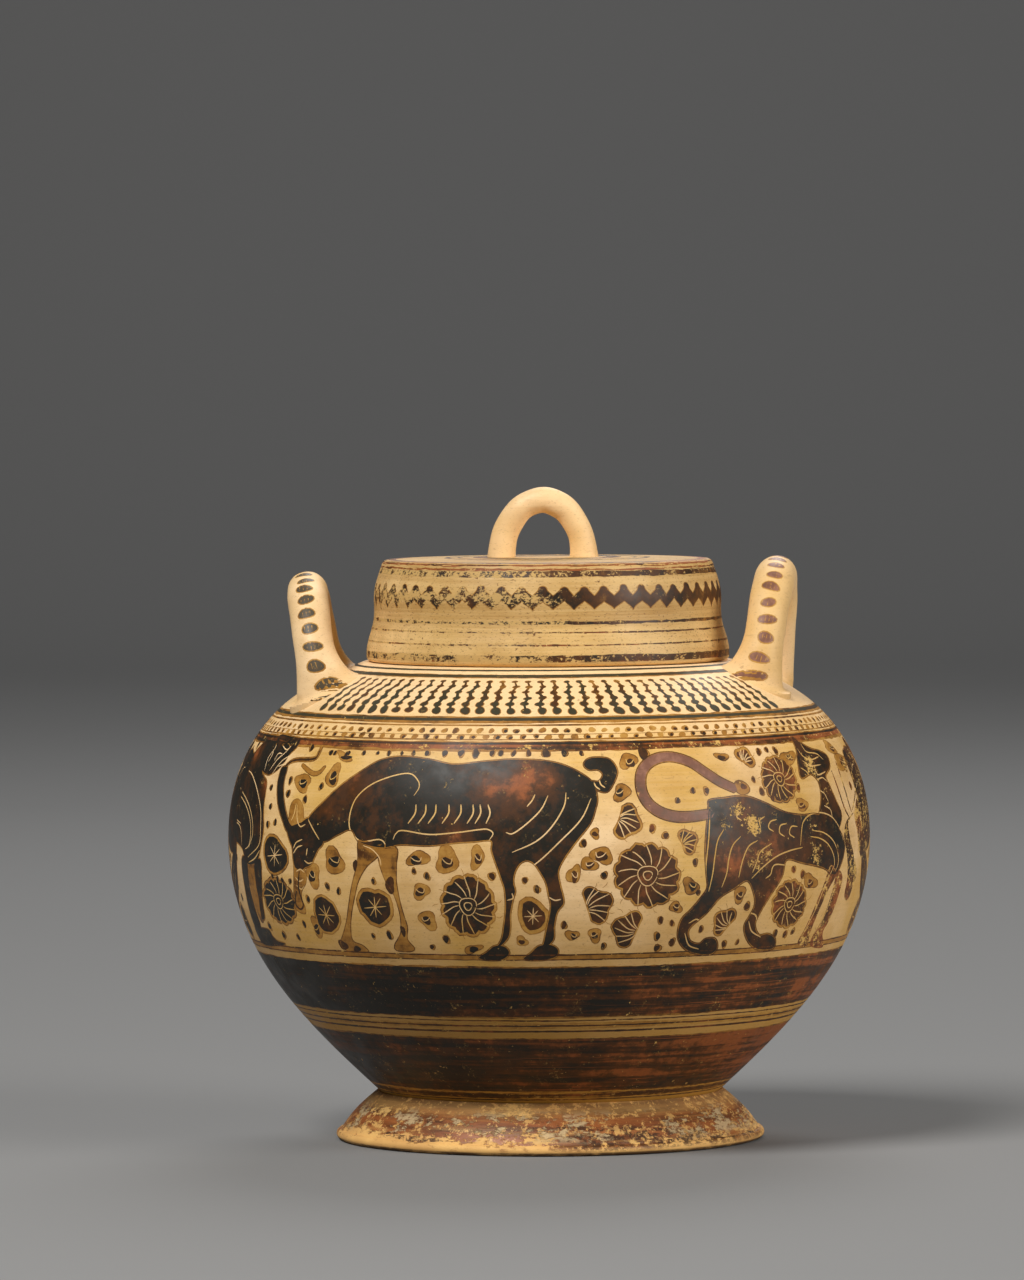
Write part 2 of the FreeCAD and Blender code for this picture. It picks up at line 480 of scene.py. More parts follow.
def loop_roll():
    """The lid's loop, a little left of the middle."""

    def place(across, up, outwards):
        return np.stack([LOOP_ACROSS + across, outwards, LID_BASE + LID_HEIGHT + up], -1)

    return Roll(LOOP_HALF_SPAN, LOOP_RISE, LOOP_THICKNESS, LOOP_ROOT_THICKNESS, 0.0, place)


left_roll = side_roll(-1, *LEFT_HANDLE)
right_roll = side_roll(1, *RIGHT_HANDLE)
lid_roll = loop_roll()


def rolled(name, roll, rows, around):
    """A hand-rolled piece: rings of points along a bent roll, closed at its two hidden ends."""
    travel = np.linspace(-1, 1, rows)[:, None]
    turn = np.linspace(0, math.tau, around, endpoint=False)[None, :]
    travel, turn = np.broadcast_arrays(travel, turn)
    points = roll.at(travel, turn).reshape(-1, 3)
    index = np.arange(rows * around).reshape(rows, around)
    beside = np.roll(index, -1, axis=1)
    quads = np.stack([index[:-1], beside[:-1], beside[1:], index[1:]], -1).reshape(-1, 4)
    faces = quads.tolist() + [index[0][::-1].tolist(), index[-1].tolist()]
    mesh = bpy.data.meshes.new(name)
    mesh.from_pydata((points * MM).tolist(), [], faces)
    piece = link(name, mesh)
    make_active(piece)
    smooth_outwards(ROLLED_SHARP)
    return piece


def luted(place):
    """Clay drawn out in a small round where a handle stands on the shoulder."""
    size = HANDLE_LUTING_ROUND
    wall_height = shoulder_height(np.hypot(place[..., 0], place[..., 1]))
    above = np.clip(place[..., 2] - wall_height, 0, size)
    out = size - np.sqrt(size**2 - (size - above) ** 2)
    out = np.where(place[..., 2] < wall_height, size, out)
    leg = np.sign(place[..., :2]) * (HANDLE_LEGS_OUT, HANDLE_HALF_SPAN)
    away = place[..., :2] - leg
    away /= np.maximum(np.linalg.norm(away, axis=-1, keepdims=True), 1e-6)
    near = place[..., 2] < wall_height + size
    moved = place.copy()
    moved[..., :2] += np.where(near, out, 0)[..., None] * away
    return moved


# Paint: marks are closed outlines on the unrolled wall, as distance round and distance up


class Wall:
    """A turned wall laid out flat: distance round it at one radius, and distance up its outline."""

    slot = "painted_clay"

    def __init__(self, profile, radius, body="vessel"):
        self.profile = profile
        self.radius = radius
        self.body = body

    def at(self, marks, lift):
        angle = marks[:, 0] / self.radius
        radius, height = self.profile.at(marks[:, 1], lift)
        return turned_points(angle, radius, height)

    def facing(self, marks):
        angle = marks[:, 0] / self.radius
        out, up = self.profile.facing(marks[:, 1])
        return np.stack([out * np.sin(angle), -out * np.cos(angle), up], -1)

    def firing(self, marks):
        """From black on the left of the front to red on its right."""
        return 0.30 + 0.34 * np.sin(marks[:, 0] / self.radius - 0.1)


bowl_face = Wall(bowl_wall, BELLY_RADIUS)
shoulder_face = Wall(bowl_wall, 82.0)
lid_face = Wall(lid_wall, 60.0, "lid")


class Skin:
    """The skin of a rolled handle laid out flat: distance along it and distance round it."""

    slot = "plain_clay"
    body = "vessel"

    def __init__(self, roll, sense):
        self.roll = roll
        self.sense = sense
        self.long = (roll.half_span + roll.rise) * 1.1
        self.round = roll.thickness / 2

    def at(self, marks, lift):
        return self.roll.at(self.sense * marks[:, 0] / self.long, marks[:, 1] / self.round, lift)

    def facing(self, marks):
        out = self.at(marks, 1.0) - self.at(marks, 0.0)
        return out / np.linalg.norm(out, axis=-1, keepdims=True)


def rounded(points, closed=True, per_span=6):
    """A smooth line through points. A point given twice makes a corner."""
    points = np.array(points, float)
    if closed:
        points = np.concatenate([points[-1:], points, points[:2]])
    else:
        before, after = 2 * points[:1] - points[1:2], 2 * points[-1:] - points[-2:-1]
        points = np.concatenate([before, points, after])
    share = np.linspace(0, 1, per_span, endpoint=False)[:, None]
    runs = []
    for before, start, end, after in zip(points, points[1:], points[2:], points[3:]):
        if np.hypot(*(end - start)) < 1e-9:
            continue
        runs.append(
            start
            + share * (end - before) / 2
            + share**2 * (before - 2.5 * start + 2 * end - after / 2)
            + share**3 * (1.5 * (start - end) + (after - before) / 2)
        )
    if not closed:
        runs.append(points[-2:-1])
    return np.concatenate(runs)


def stroke(points, width, taper=0.5, per_span=5):
    """One touch of a brush or a point along a line, thinner at its ends by taper."""
    line = rounded(points, closed=False, per_span=per_span)
    along = np.gradient(line, axis=0)
    along /= np.maximum(np.hypot(*along.T), 1e-9)[:, None]
    side = np.stack([-along[:, 1], along[:, 0]], 1)
    share = np.linspace(-1, 1, len(line))
    half = width / 2 * (1 - taper * share**4)
    left = line + side * half[:, None]
    right = line - side * half[:, None]
    start = line[:1] - along[:1] * half[0] * 0.8
    end = line[-1:] + along[-1:] * half[-1] * 0.8
    return np.concatenate([start, right, end, left[::-1]])


def blob(x, y, wide, high, chance, rough=0.12, turn=0.0, count=14):
    """One dab of slip, a little uneven."""
    angle = np.arange(count) * math.tau / count
    swell = np.sin(2 * angle + chance.uniform(0, 6)) * 0.6
    swell = 1 + rough * (swell + np.sin(3 * angle + chance.uniform(0, 6)) * 0.5)
    across, up = wide * swell * np.cos(angle), high * swell * np.sin(angle)
    return np.stack(
        [
            x + across * math.cos(turn) - up * math.sin(turn),
            y + across * math.sin(turn) + up * math.cos(turn),
        ],
        1,
    )


def swollen(outline, width):
    """The outline with its edge moved out by a width."""
    along = np.roll(outline, -1, 0) - np.roll(outline, 1, 0)
    along /= np.maximum(np.hypot(*along.T), 1e-9)[:, None]
    sense = 1 if signed_area(outline) > 0 else -1
    return outline + sense * width * np.stack([along[:, 1], -along[:, 0]], 1)


def signed_area(outline):
    x, y = outline.T
    return 0.5 * np.sum(x * np.roll(y, -1) - np.roll(x, -1) * y)


def ring_band(wall, low, high, chance, ragged, lean):
    """A painted band round the wall, whose two edges wander a little."""
    count = int(math.tau * wall.radius / RING_STEP)
    angle = np.linspace(-math.pi, math.pi, count)

    def edge(level):
        wander = sum(
            chance.normal(0, ragged / (1 + n * 0.12)) * np.sin(n * angle + chance.uniform(0, 6.3))
            for n in (3, 5, 9, 14, 23, 37, 61)
        )
        grain = chance.normal(0, ragged * 0.4, count)
        height = level + wander * 0.45 + grain + lean * np.sin(angle)
        return np.stack([wall.radius * angle, height], 1)

    under, over = edge(low), edge(high)
    rise = np.linspace(0, 1, max(2, int((high - low) / SEAM_STEP)) + 1)[1:-1, None]
    up_the_end = under[-1] + (over[-1] - under[-1]) * rise
    down_the_start = over[0] + (under[0] - over[0]) * rise
    return np.concatenate([under, up_the_end, over[::-1], down_the_start])


def film(name, wall, painted, cut=(), lift=FILM_LIFT, spacing=3.2, firing=None, wear=0.3):
    """A thin coat on a wall, made of all that is painted and nothing that is cut away."""
    corners = []
    faces = []
    for outline in (*painted, *cut):
        if signed_area(outline) < 0:
            outline = outline[::-1]
        first = sum(len(face) for face in corners)
        faces.append(list(range(first, first + len(outline))))
        corners.append(outline)
    every = np.concatenate(corners)
    low, high = every.min(0), every.max(0)
    inner_x = np.arange(low[0] + spacing / 2, high[0], spacing)
    inner_y = np.arange(low[1] + spacing / 2, high[1], spacing)
    inner = np.stack(np.meshgrid(inner_x, inner_y), -1).reshape(-1, 2)
    points = [Vector(point) for point in np.concatenate([every, inner]).tolist()]
    flat, _, triangles, _, _, origins = delaunay_2d_cdt(points, [], faces, 0, 1e-5)
    flat = np.array([tuple(point) for point in flat])
    count = len(painted)
    kept = [triangle for triangle, within in zip(triangles, origins) if within and max(within) < count]
    used, kept = np.unique(np.array(kept), return_inverse=True)
    kept = kept.reshape(-1, 3)
    flat = flat[used]
    size = len(flat)
    edges = np.concatenate([kept[:, [0, 1]], kept[:, [1, 2]], kept[:, [2, 0]]])
    backward = set(map(tuple, edges[:, ::-1].tolist()))
    border = np.array([edge for edge in edges.tolist() if tuple(edge) not in backward])
    walls = np.stack([border[:, 1], border[:, 0], border[:, 0] + size, border[:, 1] + size], 1)
    top = wall.at(flat, lift)
    under = wall.at(flat, -FILM_DEPTH)
    mesh = bpy.data.meshes.new(name)
    mesh.from_pydata(
        (np.concatenate([top, under]) * MM).tolist(),
        [],
        kept.tolist() + (kept[:, ::-1] + size).tolist() + walls.tolist(),
    )
    for label, value in (("firing", wall.firing if firing is None else firing), ("wear", wear)):
        amount = value(flat) if callable(value) else np.full(size, value)
        attribute = mesh.attributes.new(label, "FLOAT", "POINT")
        attribute.data.foreach_set("value", np.concatenate([amount, amount]).astype(np.float32))
    mesh.polygons.foreach_set("use_smooth", np.ones(len(mesh.polygons), bool))
    outward = wall.facing(flat)
    facings = np.zeros((len(mesh.loops), 3))
    facings[: 3 * len(kept)] = outward[kept.ravel()]
    mesh.normals_split_custom_set(facings.tolist())
    return link(name, mesh)


# The drawing of the frieze's front. Its points are steps of a fine grid as the eye sees it,
# right of the vessel's axis and up from the frieze's ground line. A point given twice is a corner.

# Millimetres in a step at the vessel's axis, and how much of a step up is left on the wall
DRAWING_STEP = 0.3432
UP_SHARE = 0.968

# Steps below the eye: the ground line, and the place that the drawing is rolled about
GROUND_BELOW_EYE = 647
PIVOT_BELOW_EYE = 539

# The eye: its distance from the axis and height in millimetres, and how it is held
EYE_DISTANCE = 3020.0
EYE_HEIGHT = 283.8
EYE_DIP_DEGREES = 2.141
EYE_TURN_DEGREES = 0.234
EYE_ROLL_DEGREES = 0.3

GOAT_BODY = [
    (-241, 138), (-225, 156), (-208, 172), (-188, 186), (-169, 197), (-148, 201), (-120, 198),
    (-95, 193), (-64, 196), (-36, 198), (-8, 197), (13, 193), (32, 184), (44, 174), (48, 159),
    (46, 148), (41, 134), (27, 116), (15, 99), (9, 86), (11, 72), (14, 60), (14, 53), (8, 45),
    (5, 31), (4, 17), (-8, 7), (-25, -1), (-25, -1), (-13, 4), (-6, 12), (-3, 24), (1, 43), (2, 52),
    (0, 62), (-3, 75), (-9, 86), (-15, 94), (-22, 97), (-29, 94), (-34, 86), (-36, 76), (-34, 66),
    (-36, 59), (-39, 43), (-39, 29), (-42, 18), (-55, 6), (-69, -1), (-69, -1), (-57, 6), (-48, 16),
    (-45, 30), (-43, 50), (-44, 67), (-47, 77), (-50, 86), (-54, 97), (-57, 107), (-58, 117), (-75, 116),
    (-92, 115), (-120, 112), (-148, 113), (-165, 110), (-180, 112), (-191, 117), (-198, 128),
    (-211, 123), (-226, 116), (-235, 126),
]
GOAT_HEAD = [
    (-240, 139), (-248, 135), (-256, 132), (-262, 129), (-260, 118), (-257, 110), (-256, 98),
    (-254, 90), (-248, 87), (-244, 90), (-238, 93), (-235, 100), (-231, 108), (-226, 115), (-228, 128),
]
GOAT_MUZZLE = [
    (-257, 112), (-256, 90), (-256, 66), (-257, 54), (-252, 46), (-244, 43), (-244, 50), (-247, 58),
    (-247, 66), (-243, 74), (-243, 84), (-247, 94),
]
GOAT_MOUTH = [(-253, 66), (-254, 54), (-249, 48), (-246, 52), (-249, 62), (-251, 72), (-250, 86)]
GOAT_EAR = [(-259, 131), (-260, 146), (-257, 156), (-251, 159), (-246, 152), (-245, 140), (-244, 131)]
GOAT_HORN = [
    (-267, 190), (-262, 190), (-265, 178), (-266, 165), (-264, 148), (-260, 135), (-255, 128),
    (-262, 126), (-267, 138), (-271, 152), (-272, 168), (-270, 182),
]
GOAT_TENDRIL = [(-265, 190), (-258, 196), (-250, 198), (-240, 198), (-233, 200), (-229, 207), (-226, 214)]
GOAT_TENDRIL_LOW = [(-247, 193), (-242, 188), (-236, 184), (-230, 185), (-224, 191)]
GOAT_TAIL = [
    (42, 176), (48, 168), (58, 166), (65, 176), (68, 187), (62, 197), (53, 200), (40, 199),
    (35, 193), (40, 188), (49, 188), (54, 183), (50, 176),
]
GOAT_FORELEGS = [
    [
        (-190, 118), (-192, 96), (-198, 71), (-201, 52), (-203, 37), (-206, 25), (-209, 14),
        (-204, 7), (-193, 5), (-180, 5), (-186, 12), (-196, 17), (-198, 30), (-197, 44),
        (-194, 60), (-190, 76), (-182, 90), (-172, 99), (-166, 108),
    ],
    [
        (-172, 112), (-171, 97), (-168, 86), (-163, 74), (-157, 65), (-152, 52), (-149, 38),
        (-149, 24), (-155, 12), (-152, 6), (-138, 5), (-134, 9), (-141, 18), (-141, 30),
        (-145, 43), (-149, 58), (-152, 76), (-152, 92), (-152, 110),
    ],
]
GOAT_CUTS = [
    [
        (-135, 162), (-130, 170), (-131, 177), (-139, 184), (-155, 182), (-176, 174),
        (-190, 163), (-197, 151), (-200, 135), (-197, 124), (-187, 116), (-170, 118),
        (-164, 113), (-166, 106), (-171, 101),
    ],
    [(-241, 138), (-236, 128), (-230, 118)],
    [
        (-156, 118), (-153, 124), (-146, 127), (-120, 123), (-92, 125), (-69, 128), (-61, 128),
        (-56, 124), (-60, 117),
    ],
    [(-14, 163), (-17, 157), (-22, 151)],
    [(-1, 162), (-8, 148), (-22, 134), (-36, 124), (-43, 125)],
    [(17, 165), (15, 151), (3, 131), (-13, 116), (-37, 105)],
    [(42, 159), (32, 138), (11, 116), (-9, 97), (-26, 85)],
    [(-256, 109), (-253, 115), (-247, 118)],
    [(-256, 104), (-252, 110), (-247, 112)],
    [(-250, 101), (-254, 96), (-252, 91), (-247, 92), (-247, 98), (-250, 101)],
    [(-242, 109), (-243, 102)],
    [(-245, 97), (-241, 94), (-237, 95)],
    [(-253, 86), (-249, 88), (-245, 85)],
    [(-254, 80), (-250, 76), (-246, 78)],
    [(-253, 72), (-248, 68), (-245, 71)],
    [(-253, 154), (-255, 144), (-258, 137)],
    [(-252, 153), (-252, 138), (-249, 131), (-244, 133)],
    [(45, 175), (47, 171), (51, 168)],
    [(50, 178), (52, 173), (56, 170)],
    [(-37, 64), (-36, 59), (-42, 57)],
    [(0, 60), (6, 57), (12, 58)],
]
GOAT_RIBS = [
    (-133, -141), (-123, -131), (-113, -121), (-100, -107), (-88, -95), (-76, -82), (-69, -74),
    (-61, -63),
]
GOAT_HOOVES = [
    [(-70, -1), (-62, 5), (-54, 11), (-44, 10), (-40, 4), (-46, -2), (-58, -3)],
    [(-25, -2), (-18, 4), (-10, 11), (2, 12), (9, 7), (6, 0), (-8, -3)],
]
# Dark places on the goat's thin forelegs: across, up, half width and half height in millimetres
LEG_SPOTS = [
    (-159, 72, 2.0, 2.6), (-206, 12, 2.2, 1.8), (-192, 8, 1.6, 1.2), (-146, 26, 0.9, 2.2),
    (-194, 92, 0.9, 2.0),
]
GOAT_SHOULDER_SMALL = [(-186, 112), (-177, 108), (-170, 100), (-168, 92)]

# Soft patches of the slip, as (across, up, reach, amount): redder or darker, and more worn
GOAT_RED = [
    (-192, 176, 20, 0.55), (-222, 146, 15, 0.60), (-58, 172, 18, 0.85), (-30, 168, 15, 0.80),
    (0, 178, 14, 0.60), (-165, 186, 14, 0.35), (-20, 190, 16, 0.4), (-95, 120, 16, 0.5),
    (-8, 60, 16, 0.2),
]
GOAT_RUBBED = [(-25, 185, 20, 0.2), (10, 170, 20, 0.15), (-225, 140, 14, 0.3), (-100, 190, 30, 0.12)]
FORELEG_DARK = [(-186, 104, 13, -0.5), (-158, 92, 9, -0.4), (-200, 14, 10, -0.5), (-146, 12, 8, -0.4)]
FELINE_BROWN = [
    (215, 105, 24, 0.30), (180, 95, 20, 0.45), (270, 110, 20, 0.2), (170, 140, 14, -0.2),
    (145, 35, 14, 0.2), (230, 70, 30, 0.4), (190, 150, 30, 0.15),
]
FELINE_RUBBED = [
    (188, 145, 9, 0.5), (205, 134, 11, 0.55), (178, 138, 8, 0.35), (270, 104, 12, 0.5),
    (263, 135, 9, 0.3), (218, 104, 8, 0.5), (208, 92, 7, 0.5), (250, 150, 20, 0.2),
    (278, 165, 12, 0.3), (262, 190, 14, 0.35),
]
BIRD_PLUM = [(-292, 205, 14, 0.7), (-284, 172, 10, 0.8), (-318, 130, 8, 0.5)]

FELINE_BODY = [
    (160, 150), (161, 157), (175, 159), (189, 161), (201, 160), (219, 153), (236, 145), (254, 142),
    (268, 143), (282, 137), (292, 125), (296, 111), (293, 95), (286, 83), (275, 90), (254, 95),
    (238, 98), (233, 81), (220, 60), (210, 43), (206, 32), (210, 22), (219, 23), (226, 18),
    (224, 9), (210, 8), (202, 13), (197, 22), (196, 32), (201, 41), (206, 51), (206, 62),
    (199, 77), (185, 69), (171, 60), (157, 44), (143, 32), (139, 25), (141, 16), (150, 13),
    (157, 18), (166, 18), (168, 9), (161, 3), (147, 4), (136, 9), (130, 18), (130, 29),
    (134, 39), (143, 48), (153, 60), (159, 70), (158, 85), (157, 106), (158, 127),
]
FELINE_FORELEGS = [
    [
        (282, 92), (275, 72), (266, 50), (257, 30), (249, 14), (258, 11), (262, 26), (271, 48),
        (280, 68), (288, 84),
    ],
    [
        (289, 86), (282, 60), (274, 38), (264, 21), (262, 11), (274, 10), (274, 24), (280, 36),
        (288, 56), (294, 80),
    ],
]
FELINE_HEAD = [
    (271, 140), (273, 160), (270, 176), (262, 184), (253, 180), (250, 194), (248, 208), (243, 221),
    (252, 215), (262, 209), (272, 206), (279, 201), (281, 191), (277, 182), (281, 172), (287, 158),
    (293, 142), (288, 128), (278, 136),
]
FELINE_TAIL = [
    (163, 144), (143, 141), (126, 141), (110, 146), (98, 156), (92, 170), (93, 186), (103, 197),
    (120, 201), (140, 196), (157, 185), (171, 176), (186, 169),
]
FELINE_TAIL_TIP = (193, 170)
FELINE_TAIL_SPOT = (195, 171)
FELINE_CUTS = [
    [(175, 128), (169, 117), (166, 100), (164, 84), (160, 66)],
    [(192, 121), (184, 112), (180, 98), (178, 84), (173, 70)],
    [(209, 117), (200, 111), (194, 97), (190, 80)],
    [(223, 114), (212, 106), (208, 95), (204, 85)],
    [(203, 79), (214, 90), (228, 101), (242, 107), (254, 110)],
    [(239, 92), (228, 93), (224, 90), (222, 83), (217, 79)],
    [(252, 112), (253, 125), (255, 136), (262, 143), (272, 145), (283, 141), (291, 130), (295, 117)],
    [(262, 121), (272, 119), (280, 113), (285, 103), (286, 93), (282, 84)],
    [(264, 127), (275, 125), (284, 118), (289, 107), (290, 95), (287, 86)],
    [(228, 138), (222, 136), (220, 130), (225, 126)],
    [(238, 134), (232, 132), (231, 125), (236, 121)],
    [(249, 131), (243, 131), (241, 124), (246, 120)],
    [(216, 141), (211, 137), (212, 130)],
    [(204, 139), (200, 133), (205, 128)],
    [(192, 146), (188, 141), (193, 137)],
    [(161, 146), (160, 120), (157, 90), (158, 74)],
    [(140, 34), (148, 38), (152, 34)],
    [(200, 45), (207, 42), (208, 36)],
    [(200, 36), (203, 26), (212, 20)],
    [(136, 24), (140, 12), (150, 8)],
    [(284, 88), (276, 70), (268, 50), (258, 30), (251, 16)],
    [(290, 80), (282, 57), (273, 35), (266, 24)],
    [(249, 209), (254, 202), (262, 198), (270, 201)],
    [(252, 214), (258, 206), (268, 204), (275, 198)],
    [(252, 190), (258, 186), (262, 180)],
    [(254, 197), (262, 192), (272, 193)],
    [(266, 188), (270, 183), (277, 186)],
    [(269, 178), (274, 180), (279, 176)],
    [(270, 168), (276, 164), (280, 156)],
    [(276, 152), (282, 148), (284, 140)],
]

BIRD_BODY = [
    (-284, 216), (-276, 217), (-272, 210), (-281, 203), (-287, 194), (-287, 184), (-283, 176),
    (-284, 165), (-286, 150), (-286, 130), (-288, 115), (-292, 98), (-298, 93), (-304, 96),
    (-308, 110), (-317, 122), (-319, 140), (-317, 160), (-311, 178), (-303, 192), (-294, 206),
]
BIRD_HEAD = [
    (-288, 189), (-285, 200), (-280, 209), (-274, 216), (-268, 223), (-258, 221), (-249, 219),
    (-252, 211), (-260, 203), (-265, 196), (-272, 188), (-281, 183),
]
BIRD_LEGS = [
    [(-308, 98), (-303, 98), (-300, 70), (-295, 50), (-289, 30), (-293, 27), (-300, 46), (-305, 70)],
    [(-295, 94), (-289, 97), (-288, 75), (-287, 55), (-285, 40), (-288, 39), (-291, 58), (-294, 75)],
    [
        (-295, 31), (-288, 29), (-281, 27), (-277, 21), (-272, 16), (-264, 13), (-275, 11),
        (-286, 13), (-291, 20),
    ],
]
BIRD_SHANK = [(-302, 96), (-295, 96), (-293, 74), (-290, 54), (-286, 36), (-289, 36), (-295, 52), (-300, 74)]
BIRD_CUTS = [
    [(-304, 189), (-298, 184), (-293, 170), (-289, 150), (-289, 130), (-291, 112), (-302, 100)],
    [(-301, 95), (-295, 99), (-290, 107)],
    [(-312, 168), (-305, 155), (-300, 140), (-299, 124), (-301, 112), (-305, 108)],
    [(-310, 172), (-303, 158), (-298, 142), (-297, 124), (-301, 110)],
    [(-319, 133), (-313, 135), (-309, 128), (-308, 112)],
    [(-315, 150), (-314, 140), (-309, 134)],
    [(-285, 187), (-281, 200), (-274, 210), (-272, 219)],
    [(-280, 187), (-272, 198), (-263, 206), (-253, 217)],
    [(-277, 184), (-268, 196), (-258, 203)],
    [(-270, 218), (-264, 216), (-258, 219)],
    [(-267, 213), (-262, 215), (-259, 211), (-263, 208), (-267, 213)],
    [(-281, 196), (-277, 203), (-276, 208)],
    [(-275, 197), (-271, 204), (-267, 204)],
    [(-271, 191), (-265, 194), (-262, 197)],
]

WING = [
    (300, 216), (308, 204), (314, 186), (318, 165), (319, 140), (318, 118), (315, 98), (311, 106),
    (309, 126), (306, 145), (309, 170), (306, 192),
]
WING_LOW = [
    (306, 146), (300, 135), (302, 118), (306, 100), (308, 84), (304, 70), (299, 57), (296, 62),
    (299, 80), (299, 100), (296, 120), (298, 136),
]
WING_QUILLS = [
    [(283, 187), (290, 168), (296, 150), (301, 140)],
    [(287, 196), (294, 176), (300, 156), (303, 146)],
    [(302, 213), (306, 190), (307, 168), (304, 148)],
    [(297, 214), (301, 200), (303, 184)],
]
WING_CUTS = [
    [(310, 190), (314, 170), (315, 150), (313, 128)],
    [(308, 180), (312, 162), (312, 142), (311, 120)],
    [(303, 130), (305, 112), (306, 92)],
]

# Fillers: (across, up, half width, half height), but fans as (across, up, size, turn), dots as
# (across, up), and the dots under the frieze's top line as (across, size)
ROSETTES = [(-81, 51, 27, 29), (99, 82, 32, 32), (-271, 56, 14, 24), (241, 53, 16, 24), (231, 179, 17, 23)]
FANS = [
    (44, 51, 20, 0.3), (82, 27, 20, 2.8), (75, 137, 17, -0.4), (137, 115, 12, 0.4), (177, 34, 15, 2.4),
    (196, 199, 11, 0.9),
]
STARS = [(-16, 41, 12, 14), (-174, 50, 14, 18), (-275, 102, 11, 18), (-223, 42, 12, 17)]
DABS = [
    (-215, 96, 10, 12), (-236, 82, 7, 11), (-216, 182, 7, 11), (-131, 99, 10, 8), (-102, 97, 12, 12),
    (-72, 100, 7, 11), (-128, 66, 8, 8), (-121, 37, 9, 9), (-76, 8, 8, 5), (-27, 16, 6, 5),
    (23, 22, 6, 6), (46, 22, 7, 7), (53, 102, 10, 9), (46, 124, 5, 5), (40, 93, 8, 7), (25, 83, 6, 10),
    (142, 71, 8, 8), (127, 50, 6, 6), (191, 63, 6, 8), (262, 76, 6, 8), (79, 197, 8, 9), (73, 165, 9, 8),
    (173, 201, 6, 5), (240, 200, 7, 8), (282, 210, 5, 6), (293, 196, 6, 8), (254, 153, 6, 6),
    (-232, 30, 5, 10), (-247, 175, 9, 8), (-205, 201, 9, 4),
]
DOTS = [
    (-278, 170), (-279, 151), (-274, 135), (-282, 133), (-259, 177), (-261, 164), (-244, 158),
    (-228, 171), (-237, 210), (-218, 205), (-203, 203), (-277, 81), (-272, 78), (-267, 76),
    (-259, 76), (-222, 71), (-211, 66), (-241, 58), (-245, 33), (-232, 29), (-251, 20), (-266, 22),
    (-280, 31), (-176, 76), (-160, 73), (-176, 21), (-160, 22), (-122, 81), (-135, 86), (-57, 81),
    (-24, 77), (-12, 68), (-103, 18), (-117, 10), (15, 32), (54, 11), (55, 82), (35, 114),
    (103, 129), (117, 122), (146, 95), (149, 65), (112, 37), (123, 34), (109, 21), (123, 15),
    (108, 9), (152, 28), (175, 13), (189, 15), (198, 51), (227, 24), (236, 23), (244, 26),
    (245, 88), (254, 83), (129, 157), (144, 167), (158, 167), (205, 178), (213, 166),
    (224, 160), (210, 206), (218, 208), (227, 207), (250, 170), (289, 110), (297, 190), (302, 172),
    (-297, 209), (-291, 213), (-286, 220), (-305, 198), (-313, 100), (-316, 84), (-312, 72), (-308, 60),
]
TOP_DOTS_UP = 204.5
TOP_DOTS = [
    (-214, 5), (-200, 4), (-185, 5), (-171, 4), (-160, 5), (-147, 4), (-135, 5), (-122, 6), (-104, 7),
    (-88, 8), (-73, 9), (-57, 6), (-48, 6), (-35, 6), (-20, 6), (-3, 9), (15, 7), (32, 5), (94, 12),
]


def seen(points):
    """Where points of the drawing lie on the wall laid out flat, as the eye meets it."""
    points = np.array(points, float)
    across = points[:, 0]
    above_pivot = points[:, 1] + PIVOT_BELOW_EYE - GROUND_BELOW_EYE
    roll = math.radians(EYE_ROLL_DEGREES)
    level = across * math.cos(roll) + above_pivot * math.sin(roll)
    below_eye = PIVOT_BELOW_EYE - above_pivot * math.cos(roll) + across * math.sin(roll)
    toward = np.full(len(points), BELLY_RADIUS - 4)
    for _ in range(12):
        shrink = (EYE_DISTANCE - toward) / EYE_DISTANCE
        side = level * DRAWING_STEP * shrink
        height = EYE_HEIGHT - below_eye * DRAWING_STEP * shrink
        radius, _ = bowl_wall.at(bowl_wall.length_at_height(height))
        share = np.clip(side / radius, -0.995, 0.995)
        toward = radius * np.sqrt(1 - share**2)
    angle = np.arcsin(share)
    return np.stack([BELLY_RADIUS * angle, bowl_wall.length_at_height(height)], 1)


def drawn(points):
    return rounded(seen(points))


def scratch(points, width=0.5):
    """A line cut through the slip with a point."""
    return stroke(seen(points), width, 0.5)


# Shader nodes


def node(tree, kind, inputs=None, **settings):
    """A shader node with its settings, whose inputs are values or other nodes' outputs."""
    made = tree.nodes.new("ShaderNode" + kind)
    for name, value in settings.items():
        setattr(made, name, value)
    for name, value in (inputs or {}).items():
        if isinstance(value, bpy.types.NodeSocket):
            tree.links.new(value, made.inputs[name])
        else:
            made.inputs[name].default_value = value
    return made


